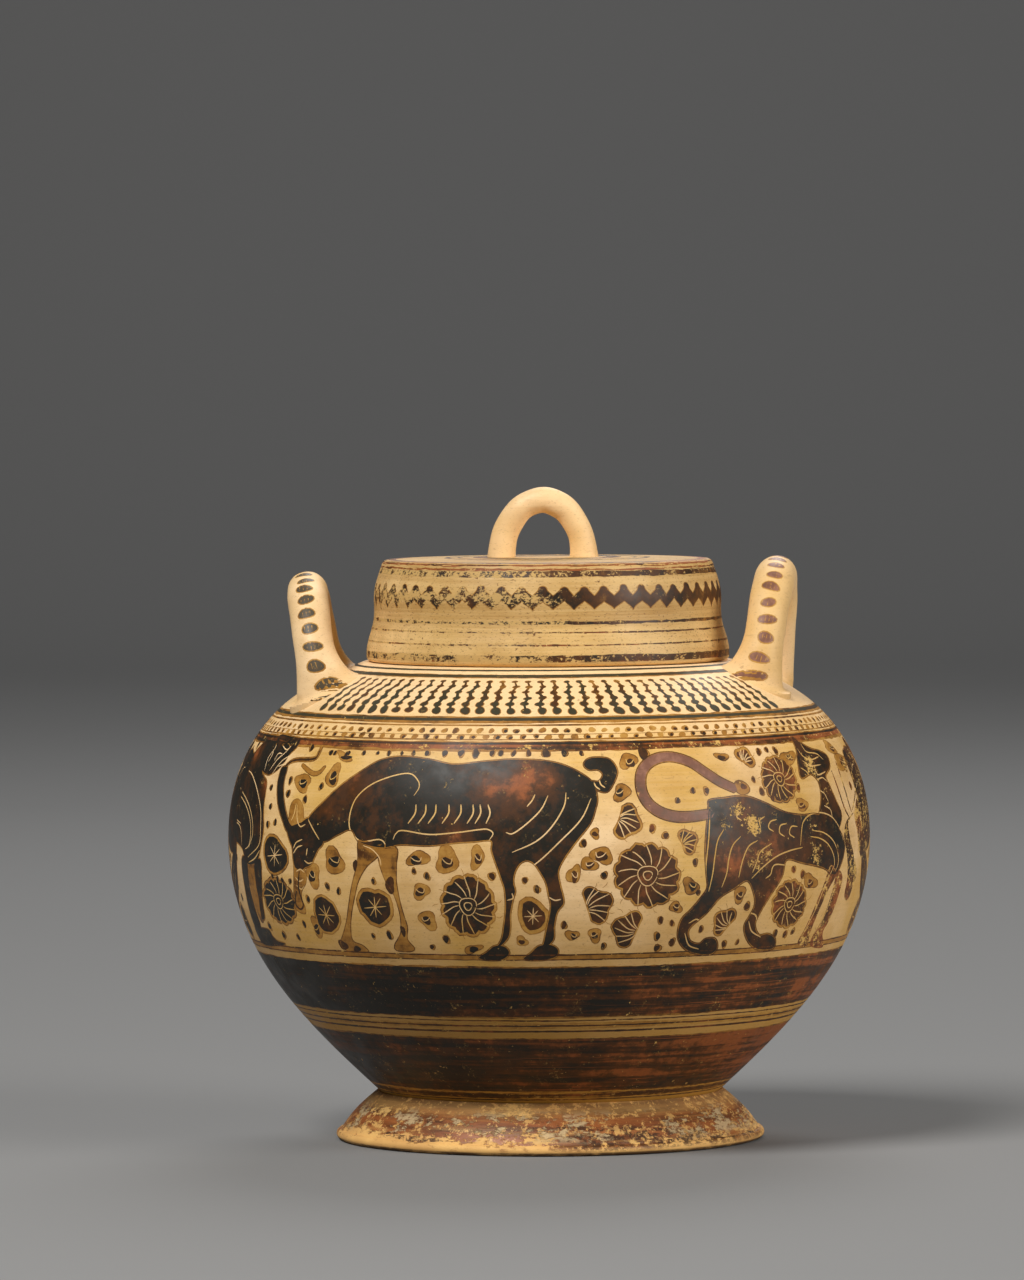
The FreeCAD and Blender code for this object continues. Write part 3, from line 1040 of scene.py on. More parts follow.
class Effect:
    """A shared effect in the making: a node group that gives a surface for each position."""

    results = {"Colour": "Color", "Roughness": "Float", "Height": "Float"}

    def __init__(self, name, colours, values):
        self.tree = bpy.data.node_groups.new(name, "ShaderNodeTree")
        inputs = {"Position": "Vector", **dict.fromkeys(colours, "Color"), **dict.fromkeys(values, "Float")}
        for direction, sockets in (("INPUT", inputs), ("OUTPUT", self.results)):
            for label, kind in sockets.items():
                kind = "NodeSocket" + kind
                self.tree.interface.new_socket(name=label, in_out=direction, socket_type=kind)
        self.given = self.tree.nodes.new("NodeGroupInput").outputs
        self.made = self.tree.nodes.new("NodeGroupOutput").inputs

    def fold(self, operation, values):
        """Several values brought together by one operation, from the first to the last."""
        total = values[0]
        for value in values[1:]:
            total = node(self.tree, "Math", {0: total, 1: value}, operation=operation).outputs[0]
        return total

    def plus(self, *values):
        return self.fold("ADD", values)

    def minus(self, *values):
        return self.fold("SUBTRACT", values)

    def times(self, *values):
        return self.fold("MULTIPLY", values)

    def most(self, *values):
        return self.fold("MAXIMUM", values)

    def stretch(self, value, low, high, to_low=0.0, to_high=1.0):
        """A value brought from one range into another, and held inside it."""
        inputs = {"Value": value, "From Min": low, "From Max": high, "To Min": to_low, "To Max": to_high}
        return node(self.tree, "MapRange", inputs, interpolation_type="SMOOTHSTEP").outputs[0]

    def noise(self, scale, detail=3.0, rough=0.55, squeeze=None):
        """Noise at a scale in features per metre, squeezed along the axes if asked."""
        place = self.given["Position"]
        if squeeze:
            place = node(self.tree, "VectorMath", {0: place, 1: squeeze}, operation="MULTIPLY").outputs[0]
        inputs = {"Vector": place, "Scale": scale, "Detail": detail, "Roughness": rough}
        return node(self.tree, "TexNoise", inputs).outputs["Fac"]

    def blend(self, share, first, second):
        """From the first colour to the second, by a share that is held between 0 and 1."""
        mix = {"data_type": "RGBA", "clamp_factor": True}
        return node(self.tree, "Mix", {0: share, 6: first, 7: second}, **mix).outputs[2]

    def axes(self):
        """The position's distances to the right, to the back and up, in metres."""
        return node(self.tree, "SeparateXYZ", {0: self.given["Position"]}).outputs

    def finish(self, *sockets):
        """Joins a colour, a roughness and a height to the group's results."""
        for label, socket in zip(self.results, sockets):
            self.tree.links.new(socket, self.made[label])
        return self.tree


@functools.cache
def thrown_clay():
    """Fired clay: clouding, wheel streaks, darker grains, small pits and a little soot; deeper to the right,
    with painted shade towards the bottom and a painted highlight on the top.
    """
    colours = ("Clay", "Pale Clay", "Deep Clay", "Grain")
    effect = Effect("Thrown Clay", colours, ("Streaks", "Grit", "Paler Top"))
    given, noise, stretch = effect.given, effect.noise, effect.stretch
    times, blend = effect.times, effect.blend
    pale, deep, streaks = given["Pale Clay"], given["Deep Clay"], given["Streaks"]
    clouds = stretch(noise(16, 4), 0.38, 0.66)
    patches = stretch(noise(70, 4), 0.40, 0.70)
    bands = stretch(noise(22, 5, 0.6, (0.35, 0.35, 9)), 0.36, 0.68)
    lines = stretch(noise(60, 3, 0.6, (0.25, 0.25, 18)), 0.40, 0.66)
    colour = blend(clouds, given["Clay"], pale)
    colour = blend(times(patches, 0.35), colour, deep)
    colour = blend(times(bands, streaks, 0.55), colour, deep)
    colour = blend(times(lines, streaks, 0.30), colour, pale)
    across, _, up = effect.axes()
    # Deeper towards the right, and deeper towards the bottom of the bowl as painted shade
    right = stretch(across, -0.02, 0.13)
    low = stretch(up, 0.12, 0.020, 0.0, 1.3)
    deeper_right_and_shaded_low = times(effect.most(times(right, 0.4), low), 0.75)
    colour = blend(deeper_right_and_shaded_low, colour, deep)
    # Painted highlight: the clay turns paler towards the top of the bowl, the collar and the handles, where
    # the light from above falls strongest
    high = times(stretch(up, 0.132, 0.160), given["Paler Top"])
    colour = blend(high, colour, pale)
    grains = stretch(noise(1500, 3, 0.7, (0.6, 0.6, 1.5)), 0.57, 0.68)
    spots = stretch(noise(420, 3, 0.6), 0.66, 0.76)
    scuffs = stretch(noise(130, 6, 0.75, (0.5, 0.5, 2.5)), 0.60, 0.70)
    dirt = effect.most(times(grains, 0.5), times(spots, 0.7), times(scuffs, 0.45))
    colour = blend(times(dirt, given["Grit"]), colour, given["Grain"])
    rough = stretch(noise(90, 3), 0.3, 0.7, 0.44, 0.62)
    ridges = noise(40, 3, 0.6, (0.2, 0.2, 16))
    height = effect.plus(times(ridges, 0.7), times(noise(700, 3), 0.22))
    height = effect.minus(height, times(spots, 0.35))
    return effect.finish(colour, rough, height)


@functools.cache
def painted_slip():
    """Painted slip: black to red-brown with the firing, brushed thin in places, and worn through."""
    effect = Effect("Painted Slip", ("Black", "Brown", "Red", "Bare Clay"), ("Firing", "Wear", "Brushing"))
    given, noise, stretch = effect.given, effect.noise, effect.stretch
    plus, minus, times, blend = effect.plus, effect.minus, effect.times, effect.blend
    firing, wear, brushing = given["Firing"], given["Wear"], given["Brushing"]
    clouding = stretch(noise(60, 5, 0.6), 0.3, 0.7, -0.26, 0.26)
    mottling = stretch(noise(330, 4, 0.65), 0.35, 0.65, -0.14, 0.14)
    swept = stretch(noise(50, 5, 0.62, (0.3, 0.3, 9)), 0.38, 0.62, -0.28, 0.28)
    drift = plus(firing, clouding, mottling, times(swept, brushing))
    colour = blend(stretch(drift, 0.0, 0.55), given["Black"], given["Brown"])
    colour = blend(stretch(drift, 0.5, 1.0), colour, given["Red"])
    hairs = stretch(noise(90, 4, 0.7, (0.25, 0.25, 14)), 0.57, 0.66)
    fired = stretch(firing, 0.20, 0.48, 0.0, 0.85)
    colour = blend(times(hairs, fired, brushing), colour, given["Red"])
    speckled = stretch(noise(900, 3, 0.6), 0.56, 0.70)
    colour = blend(times(speckled, 0.35), colour, given["Brown"])
    threshold = minus(0.76, times(wear, 0.20))
    flaked = stretch(minus(noise(520, 4, 0.65), threshold), 0.0, 0.03)
    grazed = stretch(noise(170, 6, 0.75), 0.56, 0.70)
    fine = stretch(noise(1100, 3, 0.7), 0.50, 0.62)
    grazed = times(grazed, fine, wear, 1.6)
    specked = times(noise(1300, 3, 0.7, (0.7, 0.7, 1.3)), 0.38)
    rubbed = plus(times(noise(190, 6, 0.72), 0.62), specked, times(wear, 0.26))
    rubbed = times(stretch(rubbed, 0.71, 0.77), stretch(wear, 0.35, 0.6))
    lost = effect.fold("MINIMUM", (effect.most(flaked, grazed, rubbed), 1.0))
    colour = blend(times(lost, 0.88), colour, given["Bare Clay"])
    sheen = stretch(noise(120, 3), 0.3, 0.7, 0.40, 0.56)
    rough = plus(sheen, times(lost, 0.2))
    height = minus(times(noise(600, 3), 0.3), times(lost, 0.5))
    return effect.finish(colour, rough, height)


@functools.cache
def worn_slip():
    """Slip worn off in patches: bare clay, dark scars, flakes and a pale crust, with painted shade at the top
    under the bowl and a darker edge at the ground.
    """
    effect = Effect("Worn Slip", ("Clay", "Slip", "Dark Slip", "Crust"), ("Bare Below", "Bare Above"))
    given, noise, stretch = effect.given, effect.noise, effect.stretch
    plus, minus, times, blend = effect.plus, effect.minus, effect.times, effect.blend
    slip, dark = given["Slip"], given["Dark Slip"]
    _, _, up = effect.axes()
    clouds = stretch(noise(55, 4), 0.35, 0.65)
    clay = blend(times(clouds, 0.28), given["Clay"], slip)
    patches = noise(78, 8, 0.76, (0.5, 0.5, 2.0))
    fine = noise(520, 4, 0.75, (0.6, 0.6, 1.3))
    cover = plus(times(patches, 0.74), times(fine, 0.26))
    above_ground = stretch(minus(up, given["Bare Below"]), -0.0012, 0.0020)
    near_top = stretch(minus(up, given["Bare Above"]), -0.002, 0.002, 1.0, 0.45)
    low_part = stretch(up, 0.0080, 0.0030, 0.0, 0.085)
    cover = times(stretch(minus(cover, low_part), 0.428, 0.452), above_ground, near_top)
    swept = noise(60, 6, 0.7, (0.3, 0.3, 6))
    thin = stretch(swept, 0.32, 0.54, 0.70, 1.0)
    darker = stretch(noise(48, 6, 0.75, (0.35, 0.35, 5)), 0.42, 0.64, 0.0, 0.75)
    colour = blend(times(cover, thin), clay, blend(darker, slip, dark))
    scars = stretch(noise(46, 6, 0.68, (0.4, 0.4, 3.4)), 0.545, 0.58)
    broken = stretch(noise(500, 4, 0.7), 0.42, 0.52, 0.0, 0.9)
    scarred_part = stretch(up, 0.0115, 0.0095, 0.25, 1.0)
    colour = blend(times(scars, broken, scarred_part, above_ground), colour, dark)
    # Painted shade: the top of the foot, under the bowl's overhang, is darkened towards the dark slip
    shaded = times(stretch(up, 0.0128, 0.0165), stretch(swept, 0.36, 0.6, 0.25, 0.6))
    colour = blend(shaded, colour, dark)
    flakes = stretch(noise(300, 6, 0.78), 0.545, 0.575)
    colour = blend(times(flakes, 0.85), colour, clay)
    off_middle = effect.fold("ABSOLUTE", (minus(up, 0.009), 0.0))
    middle = stretch(off_middle, 0.002, 0.006, 1.0, 0.0)
    crust = stretch(noise(80, 7, 0.78, (0.6, 0.6, 1.6)), 0.515, 0.54)
    crust = times(crust, middle, stretch(fine, 0.38, 0.5))
    colour = blend(times(crust, 0.78), colour, given["Crust"])
    # Darker along the bottom edge, where the foot meets the ground
    dark_ground_edge = times(stretch(up, 0.0013, 0.0007), stretch(patches, 0.40, 0.52, 0.3, 0.9))
    colour = blend(dark_ground_edge, colour, dark)
    rough = stretch(effect.most(crust, minus(1.0, cover)), 0.0, 1.0, 0.46, 0.75)
    height = plus(times(cover, 0.3), times(crust, 0.8), times(fine, 0.35))
    return effect.finish(colour, rough, height)


def surface_material(name, group, inputs, bump_height, specular=0.5):
    """A material whose colour, roughness and bump come from one of the groups.

    An input is a number, a colour, or the name of an attribute of the mesh.
    """
    material = bpy.data.materials.new(name)
    material.use_nodes = True
    tree = material.node_tree
    tree.nodes.clear()
    effect = tree.nodes.new("ShaderNodeGroup")
    effect.node_tree = group
    tree.links.new(node(tree, "TexCoord").outputs["Object"], effect.inputs["Position"])
    for label, value in inputs.items():
        if isinstance(value, str):
            read = node(tree, "Attribute", attribute_name=value)
            tree.links.new(read.outputs["Fac"], effect.inputs[label])
        elif isinstance(value, tuple):
            effect.inputs[label].default_value = (*value, 1)
        else:
            effect.inputs[label].default_value = value
    relief = {"Height": effect.outputs["Height"], "Strength": 1.0, "Distance": bump_height * MM}
    surface = {
        "Base Color": effect.outputs["Colour"],
        "Roughness": effect.outputs["Roughness"],
        "Specular IOR Level": specular,
        "Normal": node(tree, "Bump", relief).outputs["Normal"],
    }
    shader = node(tree, "BsdfPrincipled", surface)
    ending = node(tree, "OutputMaterial", {"Surface": shader.outputs[0]})
    ending.is_active_output = True
    return material


def count_of(name, description, default, least):
    """A whole number of the add-on."""
    return bpy.props.IntProperty(name=name, description=description, default=default, min=least)


class LekanisSizes(bpy.types.PropertyGroup):
    """How finely the clay pieces are meshed."""

    spin_steps: count_of("Spin Steps", "Columns of faces round a thrown piece", 384, 48)
    bowl_rows: count_of("Bowl Rows", "Points up the outside of the bowl", 150, 40)
    lid_rows: count_of("Lid Rows", "Points up the outside of the lid", 120, 40)
    collar_steps: count_of("Collar Steps", "Columns of faces round the collar", 256, 48)
    roll_rings: count_of("Roll Rings", "Rings of points along a side handle", 170, 40)
    roll_points: count_of("Roll Points", "Points in each ring of a side handle", 64, 16)
    loop_rings: count_of("Loop Rings", "Rings of points along the lid's loop", 120, 40)
    loop_points: count_of("Loop Points", "Points in each ring of the lid's loop", 56, 16)


def shade(name, description, red, green, blue):
    """A colour of the add-on, given as a screen shows it."""
    return bpy.props.FloatVectorProperty(
        name=name, description=description, subtype="COLOR", default=linear(red, green, blue)
    )


class LekanisColours(bpy.types.PropertyGroup):
    """Colours of the clay and of the slip."""

    clay: shade("Clay", "The fired clay", 222, 178, 98)
    # Pale clay is also the colour of the painted highlight on the tops of the bowl, the collar and the
    # handles
    pale_clay: shade("Pale Clay", "Clay where it is rubbed clean", 250, 215, 166)
    # Deep clay is also the colour of the painted shade towards the bottom of the bowl
    deep_clay: shade("Deep Clay", "Clay where it fired darker", 184, 134, 52)
    lid_clay: shade("Lid Clay", "The lid's clay", 209, 170, 104)
    lid_pale_clay: shade("Lid Pale Clay", "The lid's clay where rubbed", 230, 194, 134)
    lid_deep_clay: shade("Lid Deep Clay", "The lid's clay where darker", 166, 122, 58)
    grain: shade("Grain", "Dark grains and dirt in the clay", 110, 72, 38)
    black_slip: shade("Black Slip", "Slip at its thickest", 37, 33, 26)
    brown_slip: shade("Brown Slip", "Slip where it fired brown", 78, 46, 20)
    red_slip: shade("Red Slip", "Slip where it fired red", 148, 82, 38)
    plum_slip: shade("Plum Slip", "Slip where it fired plum", 122, 82, 64)
    dilute_slip: shade("Dilute Slip", "Thinned slip at its palest", 160, 110, 44)
    pale_dilute_slip: shade("Pale Dilute Slip", "Thinned slip over pale clay", 188, 140, 66)
    olive_slip: shade("Olive Slip", "Slip that fired green and black", 60, 57, 40)
    bar_slip: shade("Bar Slip", "Thin grey slip", 84, 74, 58)
    pale_plum_slip: shade("Pale Plum Slip", "Thin slip that fired plum", 152, 108, 88)
    foot_clay: shade("Foot Clay", "Bare clay on the foot", 234, 184, 108)
    foot_slip: shade("Foot Slip", "Worn slip on the foot", 158, 90, 44)
    # Foot dark slip is also the painted shade at the top of the foot, and the darker edge along the ground
    foot_dark_slip: shade("Foot Dark Slip", "Dark scars on the foot", 66, 38, 18)
    crust: shade("Crust", "Pale crust from the ground", 208, 182, 136)


def colour_of(name):
    return tuple(getattr(bpy.context.scene.lekanis_colours, name))


def sizes():
    return bpy.context.scene.lekanis_sizes


@functools.cache
def clay_material(name="Buff Clay", streaks=0.45, grit=0.6, bump=0.10, kind="", paler_top=0.8):
    inputs = {
        "Clay": colour_of(kind + "clay"),
        "Pale Clay": colour_of(kind + "pale_clay"),
        "Deep Clay": colour_of(kind + "deep_clay"),
        "Grain": colour_of("grain"),
        "Streaks": streaks,
        "Grit": grit,
        "Paler Top": paler_top,
    }
    return surface_material(name, thrown_clay(), inputs, bump, CLAY_SPECULAR)


@functools.cache
def slip_material(
    name="Black Slip", brushing=0.0, black="black_slip", brown="brown_slip", red="red_slip", bare="clay"
):
    inputs = {
        "Firing": "firing",
        "Wear": "wear",
        "Brushing": brushing,
        "Black": colour_of(black),
        "Brown": colour_of(brown),
        "Red": colour_of(red),
        "Bare Clay": colour_of(bare),
    }
    return surface_material(name, painted_slip(), inputs, SLIP_BUMP, SLIP_SPECULAR)


@functools.cache
def foot_material():
    inputs = {
        "Clay": colour_of("foot_clay"),
        "Slip": colour_of("foot_slip"),
        "Dark Slip": colour_of("foot_dark_slip"),
        "Crust": colour_of("crust"),
        "Bare Below": FOOT_BARE_BELOW * MM,
        "Bare Above": FOOT_BARE_ABOVE * MM,
    }
    return surface_material("Worn Foot", worn_slip(), inputs, FOOT_BUMP)


def rolled_clay():
    return clay_material("Rolled Clay", 0.20, 0.5, 0.16, paler_top=0.3)


def dilute_slip():
    return slip_material("Dilute Slip", 0.3, "brown_slip", "dilute_slip", "pale_dilute_slip")


def brushed_slip():
    return slip_material("Brushed Slip", 1.0)


def plum_slip():
    return slip_material("Plum Slip", 0.2, "bar_slip", "plum_slip", "pale_plum_slip")


# The thrown pieces


class LEKANIS_OT_bowl(bpy.types.Operator):
    """Turn the bowl, with its shoulder and its hollow"""

    bl_idname = "lekanis.bowl"
    bl_label = "Bowl"

    def execute(self, context):
        floor = FOOT_HEIGHT + FLOOR_THICKNESS
        inside = bowl_wall.moved_in(WALL, 40)
        hollow = (inside[:, 1] > floor + 0.5) & (inside[:, 1] < SEAT_HEIGHT - WALL + 0.5)
        inside = inside[hollow]
        floor_radius = np.interp(floor, inside[:, 1], inside[:, 0])
        outline = np.concatenate(
            [
                [(0, FOOT_HEIGHT), (FLOOR_RING, FOOT_HEIGHT)],
                bowl_wall.moved_in(0, sizes().bowl_rows),
                [(MOUTH_RADIUS, SEAT_HEIGHT), (MOUTH_RADIUS, inside[-1][1])],
                inside[::-1],
                [(floor_radius, floor), (FLOOR_RING, floor), (0, floor)],
            ]
        )
        piece = thrown("bowl_clay", outline, sizes().spin_steps)
        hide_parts("bowl")
        settle(piece, "vessel", "painted_clay", clay_material())
        return {"FINISHED"}


class LEKANIS_OT_foot(bpy.types.Operator):
    """Turn the flaring foot under the bowl"""

    bl_idname = "lekanis.foot"
    bl_label = "Foot"

    def execute(self, context):
        flare = Profile(FOOT_FLARE, 12).line
        edge_round = FOOT_EDGE_THICKNESS / 2
        edge = arc((FOOT_FLARE[-1][0], edge_round), edge_round, 90, -90, 12)
        inner_top = (FOOT_HOLLOW_TOP_RADIUS, FOOT_HEIGHT)
        outline = np.concatenate([[inner_top], flare, edge[1:], [(FOOT_HOLLOW_RADIUS, 0)]])
        piece = thrown("foot_clay", outline, sizes().spin_steps)
        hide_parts("foot")
        settle(piece, "vessel", "worn_slip_clay", foot_material())
        return {"FINISHED"}


class LEKANIS_OT_collar(bpy.types.Operator):
    """Turn the upright collar inside the lid"""

    bl_idname = "lekanis.collar"
    bl_label = "Collar"

    def execute(self, context):
        lip = COLLAR_WALL / 2
        top = SEAT_HEIGHT + COLLAR_HEIGHT
        lip_round = arc((MOUTH_RADIUS + lip, top - lip), lip, 0, 180, 12)
        seat = [(MOUTH_RADIUS, SEAT_HEIGHT), (MOUTH_RADIUS + COLLAR_WALL, SEAT_HEIGHT)]
        piece = thrown("collar_clay", np.concatenate([seat, lip_round]), sizes().collar_steps)
        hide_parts("collar")
        settle(piece, "vessel", "plain_clay", clay_material())
        return {"FINISHED"}


class LEKANIS_OT_lid(bpy.types.Operator):
    """Turn the deep cap of the lid"""

    bl_idname = "lekanis.lid"
    bl_label = "Lid"

    def execute(self, context):
        rim_centre = (LID_SIDE[0][0] - LID_RIM_ROUND, LID_BASE + LID_RIM_ROUND)
        rim = arc(rim_centre, LID_RIM_ROUND, -90, 0, 7)[:-1]
        inside = lid_side(12).moved_in(LID_WALL, 16)
        ceiling = LID_BASE + LID_HEIGHT - LID_WALL
        outline = np.concatenate(
            [
                [(0, LID_BASE + LID_HEIGHT + LID_DOME)],
                lid_wall.moved_in(0, sizes().lid_rows)[::-1],
                rim[::-1],
                [(inside[0][0], LID_BASE)],
                inside,
                [(inside[-1][0] - LID_EDGE_ROUND, ceiling)],
                [(CEILING_RING, ceiling + LID_DOME * CEILING_RING_SHARE), (0, ceiling + LID_DOME)],
            ]
        )
        piece = thrown("lid_clay", outline, sizes().spin_steps)
        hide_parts("lid")
        settle(piece, "lid", "painted_clay", clay_material("Lid Clay", 1.0, 1.5, 0.20, "lid_", 0.0))
        return {"FINISHED"}


class LEKANIS_OT_handles(bpy.types.Operator):
    """Roll the two side handles and lute them to the shoulder"""

    bl_idname = "lekanis.handles"
    bl_label = "Side Handles"

    def execute(self, context):
        for side, roll in (("left", left_roll), ("right", right_roll)):
            piece = rolled(f"{side}_handle_clay", roll, sizes().roll_rings, sizes().roll_points)
            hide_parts(f"{side}_handle")
            settle(piece, "vessel", "plain_clay", rolled_clay())
        return {"FINISHED"}


class LEKANIS_OT_lid_loop(bpy.types.Operator):
    """Roll the small loop on top of the lid"""

    bl_idname = "lekanis.lid_loop"
    bl_label = "Lid Loop"

    def execute(self, context):
        piece = rolled("lid_loop_clay", lid_roll, sizes().loop_rings, sizes().loop_points)
        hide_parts("lid_loop")
        settle(piece, "lid", "plain_clay", rolled_clay())
        return {"FINISHED"}


# The painted pieces


def coat(name, wall, material, painted, cut=(), **settings):
    """Lays one film on a wall, and gives it its finish and its body."""
    settle(film(name, wall, painted, cut, **settings), wall.body, wall.slot, material)


def lay(name, material, painted, cut=(), **settings):
    """One film on the bowl."""
    coat(name, bowl_face, material, painted, cut, **settings)


def rings(wall, levels, chance, ragged=0.1, lean=PAINT_LEAN):
    """Bands round a wall, each given by the level of its middle and its width."""
    return [
        ring_band(wall, level - width / 2, level + width / 2, chance, ragged, lean)
        for level, width in levels
    ]


def rings_at(heights, chance, ragged):
    """Bands round the bowl, each given by the height of its middle and its width."""
    return rings(bowl_face, [(bowl_level(height), width) for height, width in heights], chance, ragged)


def rims(outlines, width=0.28):
    """Narrow outlines inside the edges of thin coats, where thin slip dries darker."""
    return [swollen(outline, -width) for outline in outlines]


class LEKANIS_OT_low_bands(bpy.types.Operator):
    """Brush the two wide dark bands, the lines between frieze and foot, and a dark wash above the foot that
    is partly painted shade
    """

    bl_idname = "lekanis.low_bands"
    bl_label = "Lower Bands"

    def execute(self, context):
        chance = np.random.default_rng(11)
        for name, heights, redder in (("black_band", BLACK_BAND, 0.0), ("foot_band", FOOT_BAND, 0.12)):
            low, high = (bowl_level(height) for height in heights)
            band = ring_band(bowl_face, low, high, chance, 0.20, PAINT_LEAN)
            edge = ring_band(bowl_face, low - 0.5, high + 0.5, chance, 0.3, PAINT_LEAN)

            def firing(marks, redder=redder):
                return bowl_face.firing(marks) + redder

            lay(name, brushed_slip(), [band], firing=firing, wear=0.42)
            lay(name + "_edge", dilute_slip(), [edge], lift=HALO, firing=0.3)
        lay("ground_band", dilute_slip(), rings_at(GROUND_WASH, chance, 0.16), lift=HALO, firing=0.55)
        lay("ground_lines", slip_material(), rings_at(GROUND_LINES, chance, 0.14), firing=0.5, wear=0.55)
        lines = rings_at(LOWER_LINES, chance, 0.16)
        lay("lower_lines", slip_material(), lines, lift=LINE, firing=0.5, wear=0.5)

        # A pale wash above 30 mm; below it the wash fires dark, partly as painted shade under the belly
        def wash_and_shade_firing(marks):
            return np.where(marks[:, 1] > bowl_level(30.0), 0.8, 0.25)

        wash = rings_at(LOWER_WASH_AND_SHADE, chance, 0.3)
        lay("lower_wash", dilute_slip(), wash, lift=HALO, firing=wash_and_shade_firing, wear=0.5)
        return {"FINISHED"}


class LEKANIS_OT_shoulder(bpy.types.Operator):
    """Brush the lines, the dot rows and the beaded strokes of the shoulder"""

    bl_idname = "lekanis.shoulder"
    bl_label = "Shoulder"

    def execute(self, context):
        chance = np.random.default_rng(12)
        olive = slip_material("Olive Slip", 0.0, "olive_slip", "brown_slip", "dilute_slip")
        dilute = dilute_slip()
        lines = rings(shoulder_face, SHOULDER_LINES, chance)
        coat("shoulder_lines", shoulder_face, olive, lines, firing=0.0, wear=0.35)
        fringes = rings(shoulder_face, SHOULDER_FRINGES, chance, 0.3)
        coat("shoulder_fringes", shoulder_face, dilute, fringes, lift=HALO, firing=0.45)
        thin = rings(shoulder_face, SHOULDER_THIN_LINES, chance, 0.09)
        coat("shoulder_thin_lines", shoulder_face, dilute, thin, lift=LINE, firing=0.35)
        band = [ring_band(shoulder_face, *FRIEZE_TOP_BAND, chance, 0.34, PAINT_LEAN)]

        def redness(marks):
            return 0.62 + 0.30 * np.sin(marks[:, 0] / shoulder_face.radius + 0.2)

        coat("frieze_top_band", shoulder_face, brushed_slip(), band, firing=redness, wear=0.6)
        dark = rings(shoulder_face, FRIEZE_TOP_LINE, chance, 0.12)
        coat("frieze_top_line", shoulder_face, slip_material(), dark, lift=0.06, firing=0.25)
        self.dot_rows(chance)
        self.beaded_strokes(chance, olive)
        return {"FINISHED"}

    def dot_rows(self, chance):
        dots, cores = [], []
        for row, level in enumerate(DOT_ROWS):
            for i in range(DOTS_PER_ROW):
                angle = (i + row / 2) / DOTS_PER_ROW * math.tau - math.pi
                x = shoulder_face.radius * angle + chance.normal(0, 0.15)
                y = level + PAINT_LEAN * math.sin(angle) + chance.normal(0, 0.12)
                size = chance.uniform(0.95, 1.3)
                dots.append(blob(x, y, size * 0.85, size, chance, 0.18, DOT_TURN, 10))
                if chance.uniform() < 0.6:
                    side = chance.uniform(0.1, 0.3) * size
                    core = blob(x + side, y - side, size * 0.5, size * 0.6, chance, 0.2, DOT_TURN, 8)
                    cores.append(core)
        hue = chance.uniform(0, 1, 64)

        def firing(marks):
            return 0.15 + 0.6 * hue[(np.abs(marks[:, 0]) * 0.27).astype(int) % len(hue)]

        coat("dot_rows", shoulder_face, dilute_slip(), dots, lift=LINE, firing=firing)
        coat("dot_cores", shoulder_face, slip_material(), cores, firing=0.3)

    def beaded_strokes(self, chance, olive):
        beads = []
        low, high = STROKE_LEVELS
        for i in range(STROKES):
            angle = (i + 0.5) / STROKES * math.tau - math.pi
            away = abs(abs(math.degrees(angle)) - 90)
            if away < LEG_ANGLE + BARE_PAST_LEGS:
                continue
            x = shoulder_face.radius * angle
            heavy = chance.uniform(0.62, 1.05)
            line = []
            for k in range(BEADS):
                share = k / (BEADS - 1)
                side = 1 if k % 2 else -1
                y = high - (high - low) * share + chance.normal(0, 0.15)
                aside = side * 0.42 + chance.normal(0, 0.10)
                line.append((x + aside, y))
                wide = (1.0 + 0.32 * share) * chance.uniform(0.88, 1.12)
                tall = heavy * (0.80 + 0.70 * share**1.5) * chance.uniform(0.85, 1.15)
                last = 1.3 if k == BEADS - 1 else 1.0
                beads.append(blob(x + aside, y, wide, min(tall, 1.5) * last, chance, 0.12, 0.22, BEAD_POINTS))
            beads.append(stroke(line, heavy * 1.3, 0.5, 4))
        tone = chance.uniform(0, 1, 128)

        def brownish(marks):
            turn = (marks[:, 0] / shoulder_face.radius + math.pi) / math.tau
            which = (turn * STROKES).astype(int) % len(tone)
            high_up = np.clip((marks[:, 1] - 160) / 16, 0, 1)
            return 0.9 * high_up * tone[which] + 0.3 * tone[which - 7] - 0.1

        coat("beaded_strokes", shoulder_face, olive, beads, firing=brownish, spacing=2.0)
        fringe = [swollen(bead, 0.28) for bead in beads if len(bead) == BEAD_POINTS]
        coat("beaded_fringes", shoulder_face, dilute_slip(), fringe, lift=HALO, firing=0.35)


